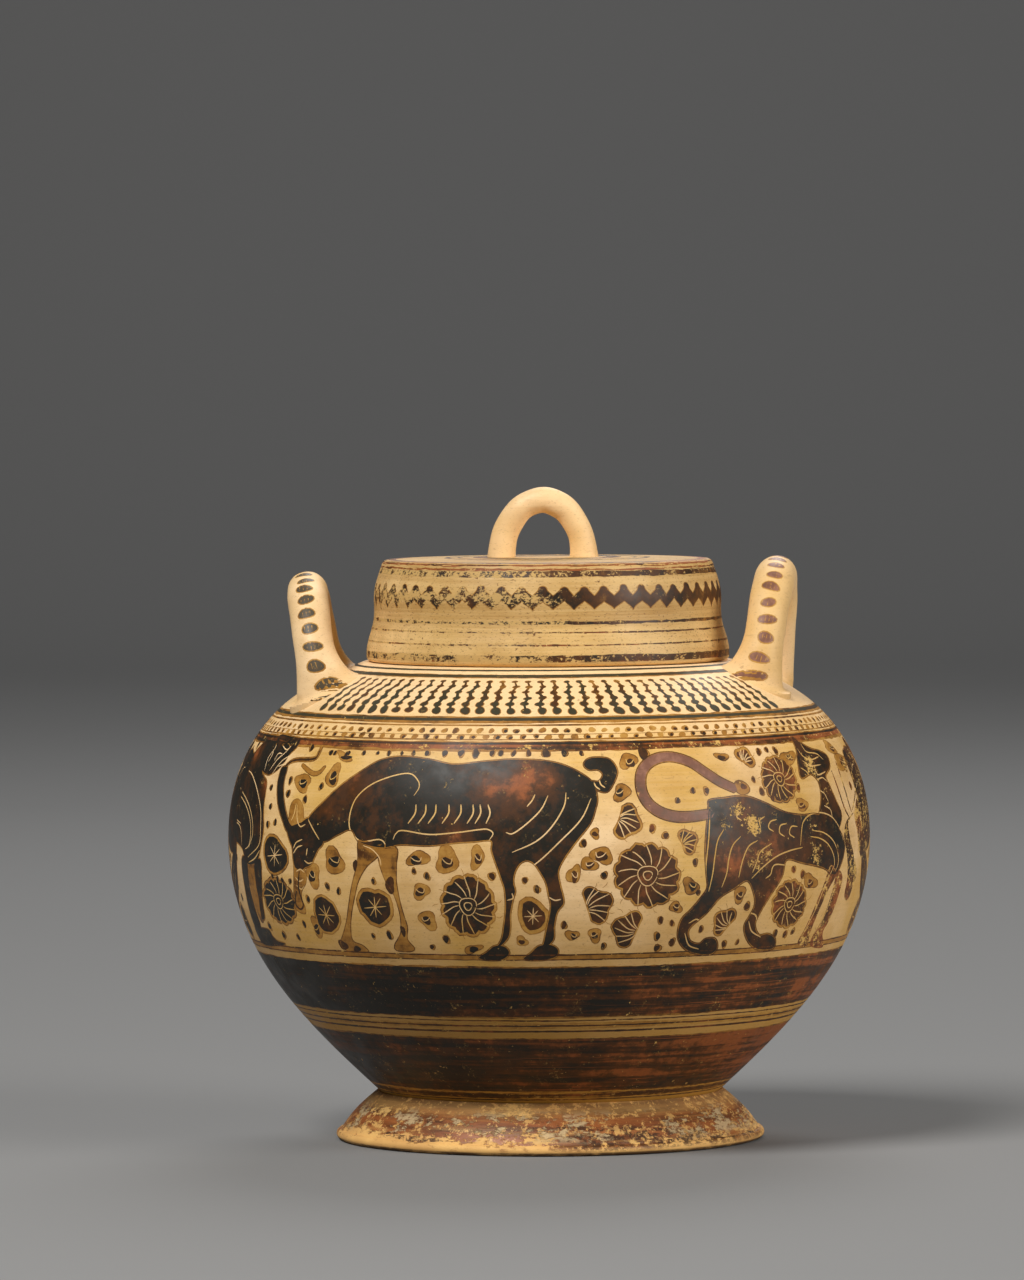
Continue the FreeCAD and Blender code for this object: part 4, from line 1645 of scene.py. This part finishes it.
class Fillers:
    """The ornaments between the animals: painted cores, lines cut in them, and thin slip round them."""

    def __init__(self, chance):
        self.chance = chance
        self.painted, self.cuts, self.halo, self.hairs = [], [], [], []

    def add(self, outline, cuts, width=1.0):
        self.painted.append(outline)
        self.cuts.extend(cuts)
        self.halo.append(swollen(outline, width * self.chance.uniform(0.6, 1.4)))

    def hair(self, line):
        """Where the point slipped past the slip and left a fine scratch in the clay."""
        end, before = np.array(line[-1]), np.array(line[-2])
        along = (end - before) / np.hypot(*(end - before))
        aside = np.array([-along[1], along[0]]) * self.chance.uniform(0.1, 0.5)
        reach = self.chance.uniform(0.8, 2.4)
        tip = end + (along + aside) * reach
        self.hairs.append(stroke([end - along * 0.3, end + along * reach / 2, tip], 0.17, 0.8))

    def rosette(self, x, y, wide, high, petals=13):
        """A round flower with a scalloped edge, and lines cut that turn like a wheel."""
        chance = self.chance
        angle = np.arange(petals * 6) * math.tau / (petals * 6)
        edge = 0.90 + 0.10 * np.abs(np.cos(angle * petals / 2)) + chance.normal(0, 0.015, len(angle))
        edge *= 1 + 0.05 * np.sin(2 * angle + chance.uniform(0, 6))
        outline = np.stack([x + wide * edge * np.cos(angle), y + high * edge * np.sin(angle)], 1)
        cuts = []
        for i in range(petals):
            start = (i + 0.5 + chance.uniform(-0.2, 0.2)) * math.tau / petals
            turned = [(0.34, 0.0), (0.55, 0.14), (0.80, 0.30), (chance.uniform(0.9, 1.15), 0.38)]
            line = [
                (x + wide * share * math.cos(start + bend), y + high * share * math.sin(start + bend))
                for share, bend in turned
            ]
            cuts.append(stroke(line, 0.42, 0.6))
            self.hair(line)
        for share in (0.31, 0.14):
            ring = np.linspace(0, math.tau * 0.97, 16)
            away = 1 + 0.08 * np.sin(3 * ring)
            line = [x + wide * share * away * np.cos(ring), y + high * share * away * np.sin(ring)]
            cuts.append(stroke(np.stack(line, 1), 0.40, 0.3, 2))
        self.add(outline, cuts)

    def fan(self, x, y, size, turn, rays=6):
        """A half flower like a shell, with pointed lobes and cut rays that spread from one side."""
        chance = self.chance
        angle = np.linspace(-1.9, 1.9, 36)
        lobes = np.abs(np.sin(angle * 2.1 + chance.uniform(-0.3, 0.3)))
        edge = size * (1.04 - 0.24 * lobes**2) * (1 - 0.12 * np.abs(angle / 1.9) ** 3)
        edge *= 1 + chance.normal(0, 0.015, len(edge))
        outline = np.stack([x + edge * np.cos(angle + turn), y + edge * np.sin(angle + turn)], 1)
        root = np.array([x - size * 0.5 * math.cos(turn), y - size * 0.5 * math.sin(turn)])
        cuts = []
        for i in range(rays):
            spread = turn + (i / (rays - 1) - 0.5) * 2.4 + chance.uniform(-0.12, 0.12)
            reach = size * chance.uniform(0.85, 1.1)
            tip = np.array([x + reach * math.cos(spread), y + reach * math.sin(spread)])
            bow = size * chance.uniform(0.02, 0.14)
            middle = (root + tip) / 2 + bow * np.array([-math.sin(spread), math.cos(spread)])
            cuts.append(stroke([root + (tip - root) * 0.2, middle, tip], 0.42, 0.5))
            self.hair([middle, tip])
        self.add(outline, cuts)

    def star(self, x, y, wide, high):
        """A dark dab with a small star cut into it."""
        chance = self.chance
        outline = blob(x, y, wide, high, chance, 0.16, 0.25, count=22)
        outline += chance.normal(0, 0.16, outline.shape)
        cuts = []
        for i in range(4):
            turn = i * math.pi / 4 + chance.uniform(-0.15, 0.15)
            reach = chance.uniform(0.55, 0.8)
            across, up = wide * reach * math.cos(turn), high * reach * math.sin(turn)
            cuts.append(stroke([(x - across, y - up), (x, y), (x + across, y + up)], 0.38, 0.5))
        self.add(outline, cuts, 1.15)

    def dab(self, x, y, wide, high):
        """A spill of thin slip round a dark core, with a hooked cut."""
        chance = self.chance
        core_x = x + wide * chance.uniform(-0.3, 0.3)
        core_y = y - high * chance.uniform(0.0, 0.35)
        core_wide, core_high = wide * chance.uniform(0.42, 0.6), high * chance.uniform(0.5, 0.65)
        self.painted.append(blob(core_x, core_y, core_wide, core_high, chance, 0.22))
        if min(wide, high) > 1.7:
            bend = chance.choice([-1, 1])
            hook = [
                (core_x + bend * across * core_wide, core_y + up * core_high)
                for across, up in ((-0.9, 0.7), (-0.2, 0.05), (0.7, -0.1), (1.0, 0.8))
            ]
            self.cuts.append(stroke(hook, 0.38, 0.5))
        turn = chance.uniform(-0.4, 0.4)
        self.halo.append(blob(x, y, wide * 1.1, high * 1.05, chance, 0.3, turn, 18))

    def dot(self, x, y, size, haloed=1.25):
        """A small dot with its halo a little beside it."""
        chance = self.chance
        lean = chance.uniform(-0.3, 0.3)
        self.painted.append(blob(x, y, size * 0.72, size * chance.uniform(0.85, 1.15), chance, 0.2, lean, 10))
        beside = x + size * chance.uniform(-0.3, 0.3)
        self.halo.append(blob(beside, y, size * haloed * 0.85, size * haloed, chance, 0.2, lean, 12))

    def lay(self, name):
        dilute = dilute_slip()
        lay(name, slip_material(), self.painted, self.cuts, wear=frieze_wear, spacing=2.0)
        lay(name + "_halos", dilute, self.halo, self.cuts, lift=HALO, firing=0.62)
        lay(name + "_rims", dilute, self.halo, rims(self.halo), lift=LINE, firing=0.28)
        lay(name + "_scratches", dilute, self.hairs, lift=HAIR, firing=0.5)


def on_flat(across, up):
    """A point of the drawing on the flat wall."""
    return seen([(across, up)])[0]


def patchy(spots, base):
    """A value over the flat wall, base apart from soft patches at spots of the drawing."""

    def value(marks):
        made = np.full(len(marks), base, float)
        for across, up, size, amount in spots:
            x, y = on_flat(across, up)
            away = np.hypot(marks[:, 0] - x, marks[:, 1] - y) / (size * DRAWING_STEP)
            made += amount * np.exp(-(away**2))
        return made

    return value


def frieze_wear(marks):
    """Sound at the left of the front, and rubbed towards the right handle."""
    angle = marks[:, 0] / BELLY_RADIUS
    return 0.26 + 0.45 * np.clip((angle - 0.55) / 0.5, 0, 1) * np.clip((2.2 - angle) / 0.5, 0, 1)


class LEKANIS_OT_front_fillers(bpy.types.Operator):
    """Paint the rosettes, fans, dabs and dots between the animals at the front"""

    bl_idname = "lekanis.front_fillers"
    bl_label = "Front Fillers"

    def execute(self, context):
        ornaments = Fillers(np.random.default_rng(21))
        step = DRAWING_STEP * UP_SHARE

        def sized(places):
            for across, up, wide, high in places:
                here, beside = seen([(across, up), (across + 1, up)])
                yield *here, wide * (beside[0] - here[0]), high * step

        for place in sized(ROSETTES):
            ornaments.rosette(*place)
        for across, up, size, turn in FANS:
            ornaments.fan(*on_flat(across, up), size * step, turn)
        for place in sized(STARS):
            ornaments.star(*place)
        for place in sized(DABS):
            ornaments.dab(*place)
        for across, up in DOTS:
            ornaments.dot(*on_flat(across, up), ornaments.chance.uniform(0.9, 1.4))
        for across, wide in TOP_DOTS:
            ornaments.dot(*on_flat(across, TOP_DOTS_UP), wide * 0.195, 1.12)
        ornaments.lay("front_fillers")
        return {"FINISHED"}


def carried(to_degrees, middle, flip, phase, stretched=0.95):
    """A way to redraw the front's animals elsewhere round the frieze, each a little differently."""

    def move(outline):
        across, up = (outline[:, 0] - middle) * stretched, outline[:, 1]
        across = (-across if flip else across) + 0.9 * np.sin(up / 8 + phase)
        up = up + 0.5 * np.sin(across / 13 + 2 * phase)
        return np.stack([BELLY_RADIUS * math.radians(to_degrees) + across, up], 1)

    return move


def same_place(outline):
    return outline


def lay_goat(name, move, firing, wear):
    """A grazing goat: dark body, thin forelegs and muzzle, and its cut lines. Gives what it covers."""
    dilute = dilute_slip()
    goat = [move(drawn(part)) for part in (GOAT_BODY, GOAT_HEAD, GOAT_TAIL, GOAT_HORN, *GOAT_HOOVES)]
    cuts = [move(scratch(line)) for line in GOAT_CUTS]
    for top, low in GOAT_RIBS:
        cuts.append(move(scratch([(top, 153), ((top + low) / 2 + 3, 144), (low, 134)], 0.55)))
    lay(name, slip_material(), goat, cuts, firing=firing, wear=wear)
    small = [move(scratch(GOAT_SHOULDER_SMALL, 0.4))]
    legs = [move(drawn(leg)) for leg in GOAT_FORELEGS]
    thin = [move(drawn(GOAT_MUZZLE)), move(drawn(GOAT_EAR))]
    thin += [move(stroke(seen(GOAT_TENDRIL), 2.0, 0.3)), move(stroke(seen(GOAT_TENDRIL_LOW), 1.9, 0.3))]
    edges = [swollen(outline, 0.5) for outline in goat] + thin
    lay(name + "_edges", dilute, edges, cuts, lift=HALO, firing=0.5)
    lay(name + "_edge_rims", dilute, edges, rims(edges, 0.22) + goat, lift=LINE, firing=0.15)
    darker = patchy(FORELEG_DARK, 0.55) if move is same_place else 0.4
    lay(name + "_forelegs", dilute, legs, small, lift=0.045, firing=darker)
    lay(name + "_leg_edges", dilute, legs, rims(legs, 0.35) + goat + small, firing=0.1)
    chance = np.random.default_rng(5)
    spots = [move(blob(*on_flat(x, y), wide, high, chance, 0.25)) for x, y, wide, high in LEG_SPOTS]
    spots += [move(stroke(seen(GOAT_MOUTH), 0.7, 0.4)), move(stroke(seen(GOAT_TENDRIL[:6]), 0.9, 0.6))]
    lay(name + "_leg_spots", slip_material(), spots, small, lift=0.055, firing=0.3)
    return edges + legs


def lay_feline(name, move, firing, wear):
    """A prowling feline with a long looped tail. Gives what it covers."""
    dilute = dilute_slip()
    body = [move(drawn(FELINE_BODY)), move(drawn(FELINE_HEAD))]
    forelegs = [move(drawn(leg)) for leg in FELINE_FORELEGS]
    cuts = [move(scratch(line)) for line in FELINE_CUTS]
    lay(name, slip_material(), body, cuts, firing=firing, wear=wear, spacing=1.6)
    lay(name + "_forelegs", slip_material(), forelegs, cuts, firing=0.7, wear=0.72, spacing=1.6)
    edges = [swollen(outline, 0.6) for outline in body]
    lay(name + "_edges", dilute, edges, cuts, lift=HALO, firing=0.35)
    lay(name + "_edge_rims", dilute, edges, rims(edges) + body, lift=LINE, firing=0.05)
    line = seen(FELINE_TAIL)
    chance = np.random.default_rng(6)
    tip = move(blob(*on_flat(*FELINE_TAIL_TIP), 3.6, 2.6, chance, 0.08, -0.1))
    tail = [move(stroke(line, 4.3, 0.15)), tip]
    lay(name + "_tail_edge", dilute, tail, lift=HALO, firing=0.45)
    inner = [move(stroke(line, 3.6, 0.15))] + rims([tip])
    lay(name + "_tail_rims", dilute, tail, inner, lift=LINE, firing=0.05)
    lay(name + "_tail", plum_slip(), [move(stroke(line, 3.3, 0.2))], firing=0.6, wear=0.35)
    spot = move(blob(*on_flat(*FELINE_TAIL_SPOT), 1.3, 1.1, chance, 0.2))
    lay(name + "_tail_spot", slip_material(), [spot], firing=0.6)
    return edges + forelegs + tail


def lay_rest(name, outlines, cuts, more_edges=(), **settings):
    """A dark part of a figure with its cut lines, on a thin edge. Gives the edges."""
    lay(name, slip_material(), outlines, cuts, spacing=1.6, **settings)
    edges = [swollen(outline, 0.5) for outline in outlines] + list(more_edges)
    lay(name + "_edges", dilute_slip(), edges, cuts, lift=HALO, firing=0.4)
    return edges


class LEKANIS_OT_front_figures(bpy.types.Operator):
    """Paint and incise the animals at the front of the frieze"""

    bl_idname = "lekanis.front_figures"
    bl_label = "Front Figures"

    def execute(self, context):
        lay_goat("goat", same_place, patchy(GOAT_RED, 0.02), patchy(GOAT_RUBBED, 0.24))
        lay_feline("feline", same_place, patchy(FELINE_BROWN, 0.22), patchy(FELINE_RUBBED, 0.42))
        bird = [drawn(part) for part in (BIRD_BODY, BIRD_HEAD, *BIRD_LEGS)]
        cuts = [scratch(line) for line in BIRD_CUTS]
        lay_rest("bird", bird, cuts, [drawn(BIRD_SHANK)], firing=patchy(BIRD_PLUM, 0.05), wear=0.35)
        wings = [drawn(WING), drawn(WING_LOW)] + [stroke(seen(line), 0.8, 0.5) for line in WING_QUILLS]
        cuts = [scratch(line, 0.7) for line in WING_CUTS]
        lay("winged_figure", slip_material(), wings, cuts, firing=0.5, wear=0.78, spacing=1.6)
        return {"FINISHED"}


# Past the edges of the front: the folded wing and the tail of the left bird, in millimetres on
# the flat wall

TAIL_END = [
    (-143, 110), (-149, 102), (-158, 95), (-170, 86), (-183, 77), (-181, 73), (-169, 77), (-157, 83),
    (-148, 91),
]
WING_END = [
    (-144, 131), (-150, 136), (-158, 136), (-165, 128), (-169, 115), (-166, 106), (-157, 101),
    (-147, 104),
]
HEAD_END = [(-160, 139), (-166, 139), (-168, 134), (-163, 131), (-158, 133)]
END_CUTS = [
    [(-147, 128), (-154, 130), (-160, 124), (-163, 113)],
    [(-146, 122), (-152, 124), (-157, 118), (-159, 108)],
    [(-146, 116), (-151, 117), (-154, 112), (-155, 106)],
    [(-150, 97), (-162, 88), (-176, 79)],
    [(-149, 94), (-160, 86), (-172, 79)],
]


def crossed(outline, points):
    """Which points lie inside an outline."""
    inside = np.zeros(len(points), bool)
    for start, end in zip(outline, np.roll(outline, -1, 0)):
        if start[1] == end[1]:
            continue
        spans = (start[1] > points[:, 1]) != (end[1] > points[:, 1])
        meets = start[0] + (points[:, 1] - start[1]) * (end[0] - start[0]) / (end[1] - start[1])
        inside ^= spans & (points[:, 0] < meets)
    return inside


def room_between(outlines, points):
    """How far each point is from the nearest outline, or below zero inside one."""
    edge = np.concatenate(outlines)
    room = np.full(len(points), 1e3)
    for part in np.array_split(edge, max(1, len(edge) // 200)):
        away = np.hypot(points[:, :1] - part[:, 0], points[:, 1:] - part[:, 1])
        room = np.minimum(room, away.min(1))
    for outline in outlines:
        room[crossed(outline, points)] = -1
    return room


class LEKANIS_OT_back_frieze(bpy.types.Operator):
    """Paint the animals and the fillers round the sides and the back of the frieze"""

    bl_idname = "lekanis.back_frieze"
    bl_label = "Back Frieze"

    def execute(self, context):
        chance = np.random.default_rng(51)
        covered = lay_feline("right_feline", carried(124, 80, True, 0.7), bowl_face.firing, 0.34)
        covered += lay_goat("back_goat", carried(185, -43, True, 1.9), bowl_face.firing, 0.26)
        covered += lay_feline("left_feline", carried(245, 80, False, 3.1), 0.30, 0.30)
        for side, name, firing, wear in ((-1, "bird_end", 0.1, 0.35), (1, "winged_figure_end", 0.45, 0.6)):
            ends = [rounded(outline) for outline in (TAIL_END, WING_END, HEAD_END)]
            if side > 0:
                ends = [marks * (-1, 1) for marks in ends]
            cuts = [stroke(np.array(line, float) * (-side, 1), 0.5) for line in END_CUTS]
            edges = lay_rest(name, ends, cuts, firing=firing, wear=wear)
            turn = math.tau * BELLY_RADIUS if side < 0 else 0
            covered += [edge + (turn, 0) for edge in edges]
        self.fill(covered, chance)
        return {"FINISHED"}

    def fill(self, covered, chance):
        """Scatters fillers into the room that the animals leave, from the largest to the smallest."""
        start, end = (BELLY_RADIUS * math.radians(degrees) for degrees in BACK_FRIEZE)
        bottom = bowl_level(FRIEZE_BOTTOM)
        tries = np.stack([chance.uniform(start, end, 9000), chance.uniform(bottom, FRIEZE_TOP, 9000)], 1)
        room = np.minimum(tries[:, 1] - bottom, FRIEZE_TOP - tries[:, 1])
        room = np.minimum(room, room_between(covered, tries))
        ornaments = Fillers(chance)
        placed = np.zeros((0, 3))
        for kind, least, most, gap in BACK_FILLERS:
            for point, free in zip(tries, room):
                if free < least + gap:
                    continue
                if len(placed):
                    beside = np.hypot(placed[:, 0] - point[0], placed[:, 1] - point[1]) - placed[:, 2]
                    free = min(free, beside.min())
                if free < least + gap:
                    continue
                size = min(free - gap, most)
                placed = np.concatenate([placed, [(*point, size)]])
                if kind == "rosette":
                    ornaments.rosette(*point, size, size * chance.uniform(0.9, 1.0))
                elif kind == "dab":
                    ornaments.dab(*point, size * chance.uniform(0.7, 1.0), size)
                elif kind == "dot":
                    ornaments.dot(*point, size)
                elif chance.uniform() < 0.6:
                    ornaments.fan(*point, size, chance.uniform(0, 6.3))
                else:
                    ornaments.star(*point, size * 0.85, size)
        ornaments.lay("back_fillers")


def lid_worn(left, right):
    """Wear that fades from the left of the lid's front to its right, and is less at the back."""

    def value(marks):
        angle = marks[:, 0] / lid_face.radius
        share = np.clip(0.5 + angle / 0.5, 0, 1)
        sides = np.clip((np.abs(angle) - 1.4) / 0.5, 0, 1) * 0.15
        return left + (right - left) * share - sides * (left - right)

    return value


def zigzag_wear(marks):
    """The crossings are rubbed more than the peaks and the tips."""
    crossing = np.exp(-(((marks[:, 1] - lid_level(ZIGZAG_HEIGHT)) / 1.3) ** 2))
    rubbed = lid_worn(0.85, 0.36)(marks)
    return rubbed + 0.4 * crossing * np.clip(rubbed - 0.3, 0, 1)


def lid_firing(marks):
    return 0.32 + 0.3 * np.clip(np.sin(marks[:, 0] / lid_face.radius - 0.3), 0, 1)


class LEKANIS_OT_lid_paint(bpy.types.Operator):
    """Brush the zigzag, the lines and the rings on the lid"""

    bl_idname = "lekanis.lid_paint"
    bl_label = "Lid Paint"

    def execute(self, context):
        chance = np.random.default_rng(31)
        zigzag = self.zigzag(chance)
        grey = slip_material("Zigzag Slip", 0.0, red="dilute_slip", bare="lid_clay")
        coat("lid_zigzag", lid_face, grey, zigzag, firing=lid_firing, wear=zigzag_wear, spacing=1.2)
        edges = [swollen(outline, 0.3) for outline in zigzag]
        wash = slip_material("Lid Wash", 0.3, "brown_slip", "dilute_slip", "pale_dilute_slip", "lid_clay")
        coat("lid_zigzag_edges", lid_face, wash, edges, lift=HALO, firing=0.45, wear=zigzag_wear)
        worn = lid_worn(0.98, 0.66)
        stripes = self.at_heights(LID_STRIPES, chance, 0.25)
        coat("lid_stripes", lid_face, grey, stripes, lift=LINE, firing=lid_firing, wear=worn, spacing=1.6)
        thin = self.at_heights(LID_THIN_LINES, chance, 0.12)
        lines = slip_material("Lid Line Slip", 0.0, bare="lid_clay")
        coat("lid_thin_lines", lid_face, lines, thin, lift=LINE, firing=0.6, wear=lid_worn(1.0, 0.74))
        brushed = slip_material("Lid Ring Slip", 1.0, bare="lid_clay")
        edge = lid_level(LID_EDGE)
        outer = [(edge + beyond, width) for beyond, width in LID_EDGE_RINGS]
        outer = rings(lid_face, outer, chance, 0.3, 0.0)
        coat("lid_edge_rings", lid_face, brushed, outer, lift=LINE, firing=0.85, wear=0.62)
        inner = [(lid_wall.length - radius, width) for radius, width in LID_TOP_RINGS]
        inner = rings(lid_face, inner, chance, 0.25, 0.0)
        coat("lid_top_rings", lid_face, brushed, inner, lift=LINE, firing=0.6, wear=0.7)
        return {"FINISHED"}

    def at_heights(self, heights, chance, ragged):
        levels = [(lid_level(height), width) for height, width in heights]
        return rings(lid_face, levels, chance, ragged, 0.0)

    def zigzag(self, chance):
        """One outline for each period, which meets the next in a notch above and one below."""
        zigzag = []
        pitch = math.tau * lid_face.radius / ZIGZAG_PERIODS
        middle = lid_level(ZIGZAG_HEIGHT)
        half = pitch / 2
        for i in range(ZIGZAG_PERIODS):
            x = ZIGZAG_START + (i - ZIGZAG_PERIODS // 2) * pitch
            peak, tip, fork = chance.uniform(3.5, 4.2), chance.uniform(-4.6, -3.7), chance.uniform(-1.4, -0.6)
            lean = chance.normal(0, 0.3)
            above = [(-half, 0.4), (-half, 0.4), (lean - 1.6, 2.2), (lean - 1.1, peak - 0.5), (lean, peak)]
            above += [(lean + 1.1, peak - 0.5), (lean + 1.6, 2.2), (half, 0.4), (half, 0.4)]
            below = [(half, -4.1), (half, -4.1), (half - 0.8, -3.1), (lean, fork), (lean, fork)]
            below += [(0.8 - half, -3.1), (-half, tip), (-half, tip)]
            zigzag.append(rounded([(x + a, middle + b) for a, b in above + below], per_span=3))
        return zigzag


class LEKANIS_OT_handle_bars(bpy.types.Operator):
    """Brush the short bars across the side handles"""

    bl_idname = "lekanis.handle_bars"
    bl_label = "Handle Bars"

    def execute(self, context):
        handles = (("left", Skin(left_roll, 1), 41, 0.0), ("right", Skin(right_roll, -1), 42, 0.75))
        for side, skin, seed, red in handles:
            chance = np.random.default_rng(seed)
            bars = []
            for i in range(HANDLE_BARS):
                share = i / (HANDLE_BARS - 1) - 0.5
                x = share * HANDLE_BARS_SPREAD * skin.long + chance.normal(0, 0.25)
                y = chance.normal(0.5, 0.35)
                long, tall = chance.uniform(1.3, 1.7), chance.uniform(2.5, 3.2)
                lean = chance.uniform(-0.2, 0.2)
                bars.append(blob(x, y, long, tall, chance, 0.10, lean))
            edges = [swollen(bar, 0.4) for bar in bars]
            dress = {"spacing": 1.3, "wear": 0.5}
            coat(f"{side}_handle_bars", skin, plum_slip(), bars, firing=red, **dress)
            coat(f"{side}_handle_bar_edges", skin, dilute_slip(), edges, lift=HALO, firing=0.9, **dress)
        return {"FINISHED"}


# Stage


class LekanisStage(bpy.types.PropertyGroup):
    """Where the eye stands, and the colour of the floor."""

    eye_distance: bpy.props.FloatProperty(
        name="Eye Distance",
        description="From the vessel's axis to the camera",
        default=EYE_DISTANCE * MM,
        unit="LENGTH",
    )
    eye_height: bpy.props.FloatProperty(
        name="Eye Height", description="Of the camera above the floor", default=EYE_HEIGHT * MM, unit="LENGTH"
    )
    lens: bpy.props.FloatProperty(
        name="Lens", description="Focal length of the camera in millimetres", default=247.5
    )
    floor: bpy.props.FloatVectorProperty(
        name="Floor",
        description="Colour of the floor and backdrop",
        subtype="COLOR",
        default=(0.21, 0.21, 0.21),
    )


# Lamps: name, place, aim, size, power and tint, in metres and watts
AIM = (0, 0, 0.12)
LAMPS = [
    ("Key Lamp", (-1.1, -1.45, 2.2), AIM, 1.2, 79, (1.0, 0.98, 0.95)),
    ("Fill Lamp", (2.3, -1.2, 0.9), AIM, 1.6, 50, (1.0, 0.97, 0.92)),
    ("Back Lamp", (0.3, 2.0, 1.9), AIM, 1.4, 26, (1.0, 1.0, 1.0)),
    ("Backdrop Lamp", (0, 3.0, 2.4), (0, 6.0, 1.2), 1.6, 24, (1.0, 1.0, 1.0)),
]
FLOOR_SIZE = 12
FLOOR_DROP = 0.0002
BACKDROP_HEIGHT = 6
COVE_ROUND = 2.0
SKY_COLOUR = (0.95, 0.96, 1.0, 1)
SKY_STRENGTH = 0.20


def stand(name, data, place):
    """A lamp or a camera in the scene."""
    holder = link(name, data)
    holder.location = place
    return holder


class LEKANIS_OT_stage(bpy.types.Operator):
    """Set up the floor, the backdrop, the lamps and the camera"""

    bl_idname = "lekanis.stage"
    bl_label = "Stage"

    def execute(self, context):
        setting = context.scene.lekanis_stage
        self.backdrop(context, setting)
        for name, place, aim, size, power, tint in LAMPS:
            lamp = bpy.data.lights.new(name, "AREA")
            lamp.shape = "DISK"
            lamp.size = size
            lamp.energy = power
            lamp.color = tint
            holder = stand(name, lamp, place)
            holder.rotation_euler = (Vector(aim) - Vector(place)).to_track_quat("-Z", "Y").to_euler()
        world = bpy.data.worlds.new("Studio")
        world.use_nodes = True
        sky = world.node_tree.nodes["Background"]
        sky.inputs["Color"].default_value = SKY_COLOUR
        sky.inputs["Strength"].default_value = SKY_STRENGTH
        context.scene.world = world

        eye = bpy.data.cameras.new("Eye")
        eye.lens = setting.lens
        eye.clip_start = 0.1
        eye.clip_end = 50
        holder = stand("Eye", eye, (0, -setting.eye_distance, setting.eye_height))
        holder.rotation_mode = "QUATERNION"
        turn = Quaternion((0, 0, 1), math.radians(EYE_TURN_DEGREES))
        tilt = Quaternion((1, 0, 0), math.radians(90 - EYE_DIP_DEGREES))
        roll = Quaternion((0, 0, 1), math.radians(-EYE_ROLL_DEGREES))
        holder.rotation_quaternion = turn @ tilt @ roll
        context.scene.camera = holder
        context.scene.view_settings.view_transform = "Standard"
        return {"FINISHED"}

    def backdrop(self, context, setting):
        """A pale floor that bends up into a backdrop behind the vessel."""
        deselect()
        bpy.ops.mesh.primitive_plane_add(size=FLOOR_SIZE, location=(0, 0, -FLOOR_DROP))
        floor = context.active_object
        floor.name = "stage_floor"
        make_active(floor)
        bpy.ops.object.transform_apply(location=True, rotation=True, scale=True)
        bpy.ops.object.mode_set(mode="EDIT")
        shape = bmesh.from_edit_mesh(floor.data)
        for edge in shape.edges:
            edge.select = all(vertex.co.y > 1 for vertex in edge.verts)
        bmesh.update_edit_mesh(floor.data)
        bpy.ops.mesh.extrude_region_move(TRANSFORM_OT_translate={"value": (0, 0, BACKDROP_HEIGHT)})
        bpy.ops.object.mode_set(mode="OBJECT")
        bend = floor.modifiers.new("Cove", "BEVEL")
        bend.width = COVE_ROUND
        bend.segments = 24
        bpy.ops.object.modifier_apply(modifier=bend.name)
        bpy.ops.object.shade_smooth()
        material = bpy.data.materials.new("Pale Backdrop")
        material.use_nodes = True
        shader = material.node_tree.nodes["Principled BSDF"]
        shader.inputs["Base Color"].default_value = (*setting.floor, 1)
        shader.inputs["Roughness"].default_value = 0.9
        floor.data.materials.append(material)
        floor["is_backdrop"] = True


class LEKANIS_PT_panel(bpy.types.Panel):
    """The vessel's pieces, in the order in which they are made"""

    bl_label = "Lekanis"
    bl_idname = "LEKANIS_PT_panel"
    bl_space_type = "VIEW_3D"
    bl_region_type = "UI"
    bl_category = "Lekanis"

    def draw(self, context):
        for step in STEPS:
            self.layout.operator(step.bl_idname)


STEPS = (
    LEKANIS_OT_bowl,
    LEKANIS_OT_foot,
    LEKANIS_OT_collar,
    LEKANIS_OT_lid,
    LEKANIS_OT_handles,
    LEKANIS_OT_lid_loop,
    LEKANIS_OT_low_bands,
    LEKANIS_OT_shoulder,
    LEKANIS_OT_front_fillers,
    LEKANIS_OT_front_figures,
    LEKANIS_OT_back_frieze,
    LEKANIS_OT_lid_paint,
    LEKANIS_OT_handle_bars,
    LEKANIS_OT_stage,
)

SETTINGS = {
    "lekanis_sizes": LekanisSizes,
    "lekanis_colours": LekanisColours,
    "lekanis_stage": LekanisStage,
}


def register():
    for name, settings in SETTINGS.items():
        bpy.utils.register_class(settings)
        setattr(bpy.types.Scene, name, bpy.props.PointerProperty(type=settings))
    for step in STEPS:
        bpy.utils.register_class(step)
    bpy.utils.register_class(LEKANIS_PT_panel)


def unregister():
    bpy.utils.unregister_class(LEKANIS_PT_panel)
    for step in reversed(STEPS):
        bpy.utils.unregister_class(step)
    for name, settings in SETTINGS.items():
        delattr(bpy.types.Scene, name)
        bpy.utils.unregister_class(settings)


def main():
    register()
    for step in STEPS:
        area, name = step.bl_idname.split(".")
        getattr(getattr(bpy.ops, area), name)()
    boxes = {"cad": cad_box, "visual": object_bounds()}
    rows = {name: [list(corner) for corner in box] for name, box in boxes.items()}


if __name__ == "__main__":
    main()
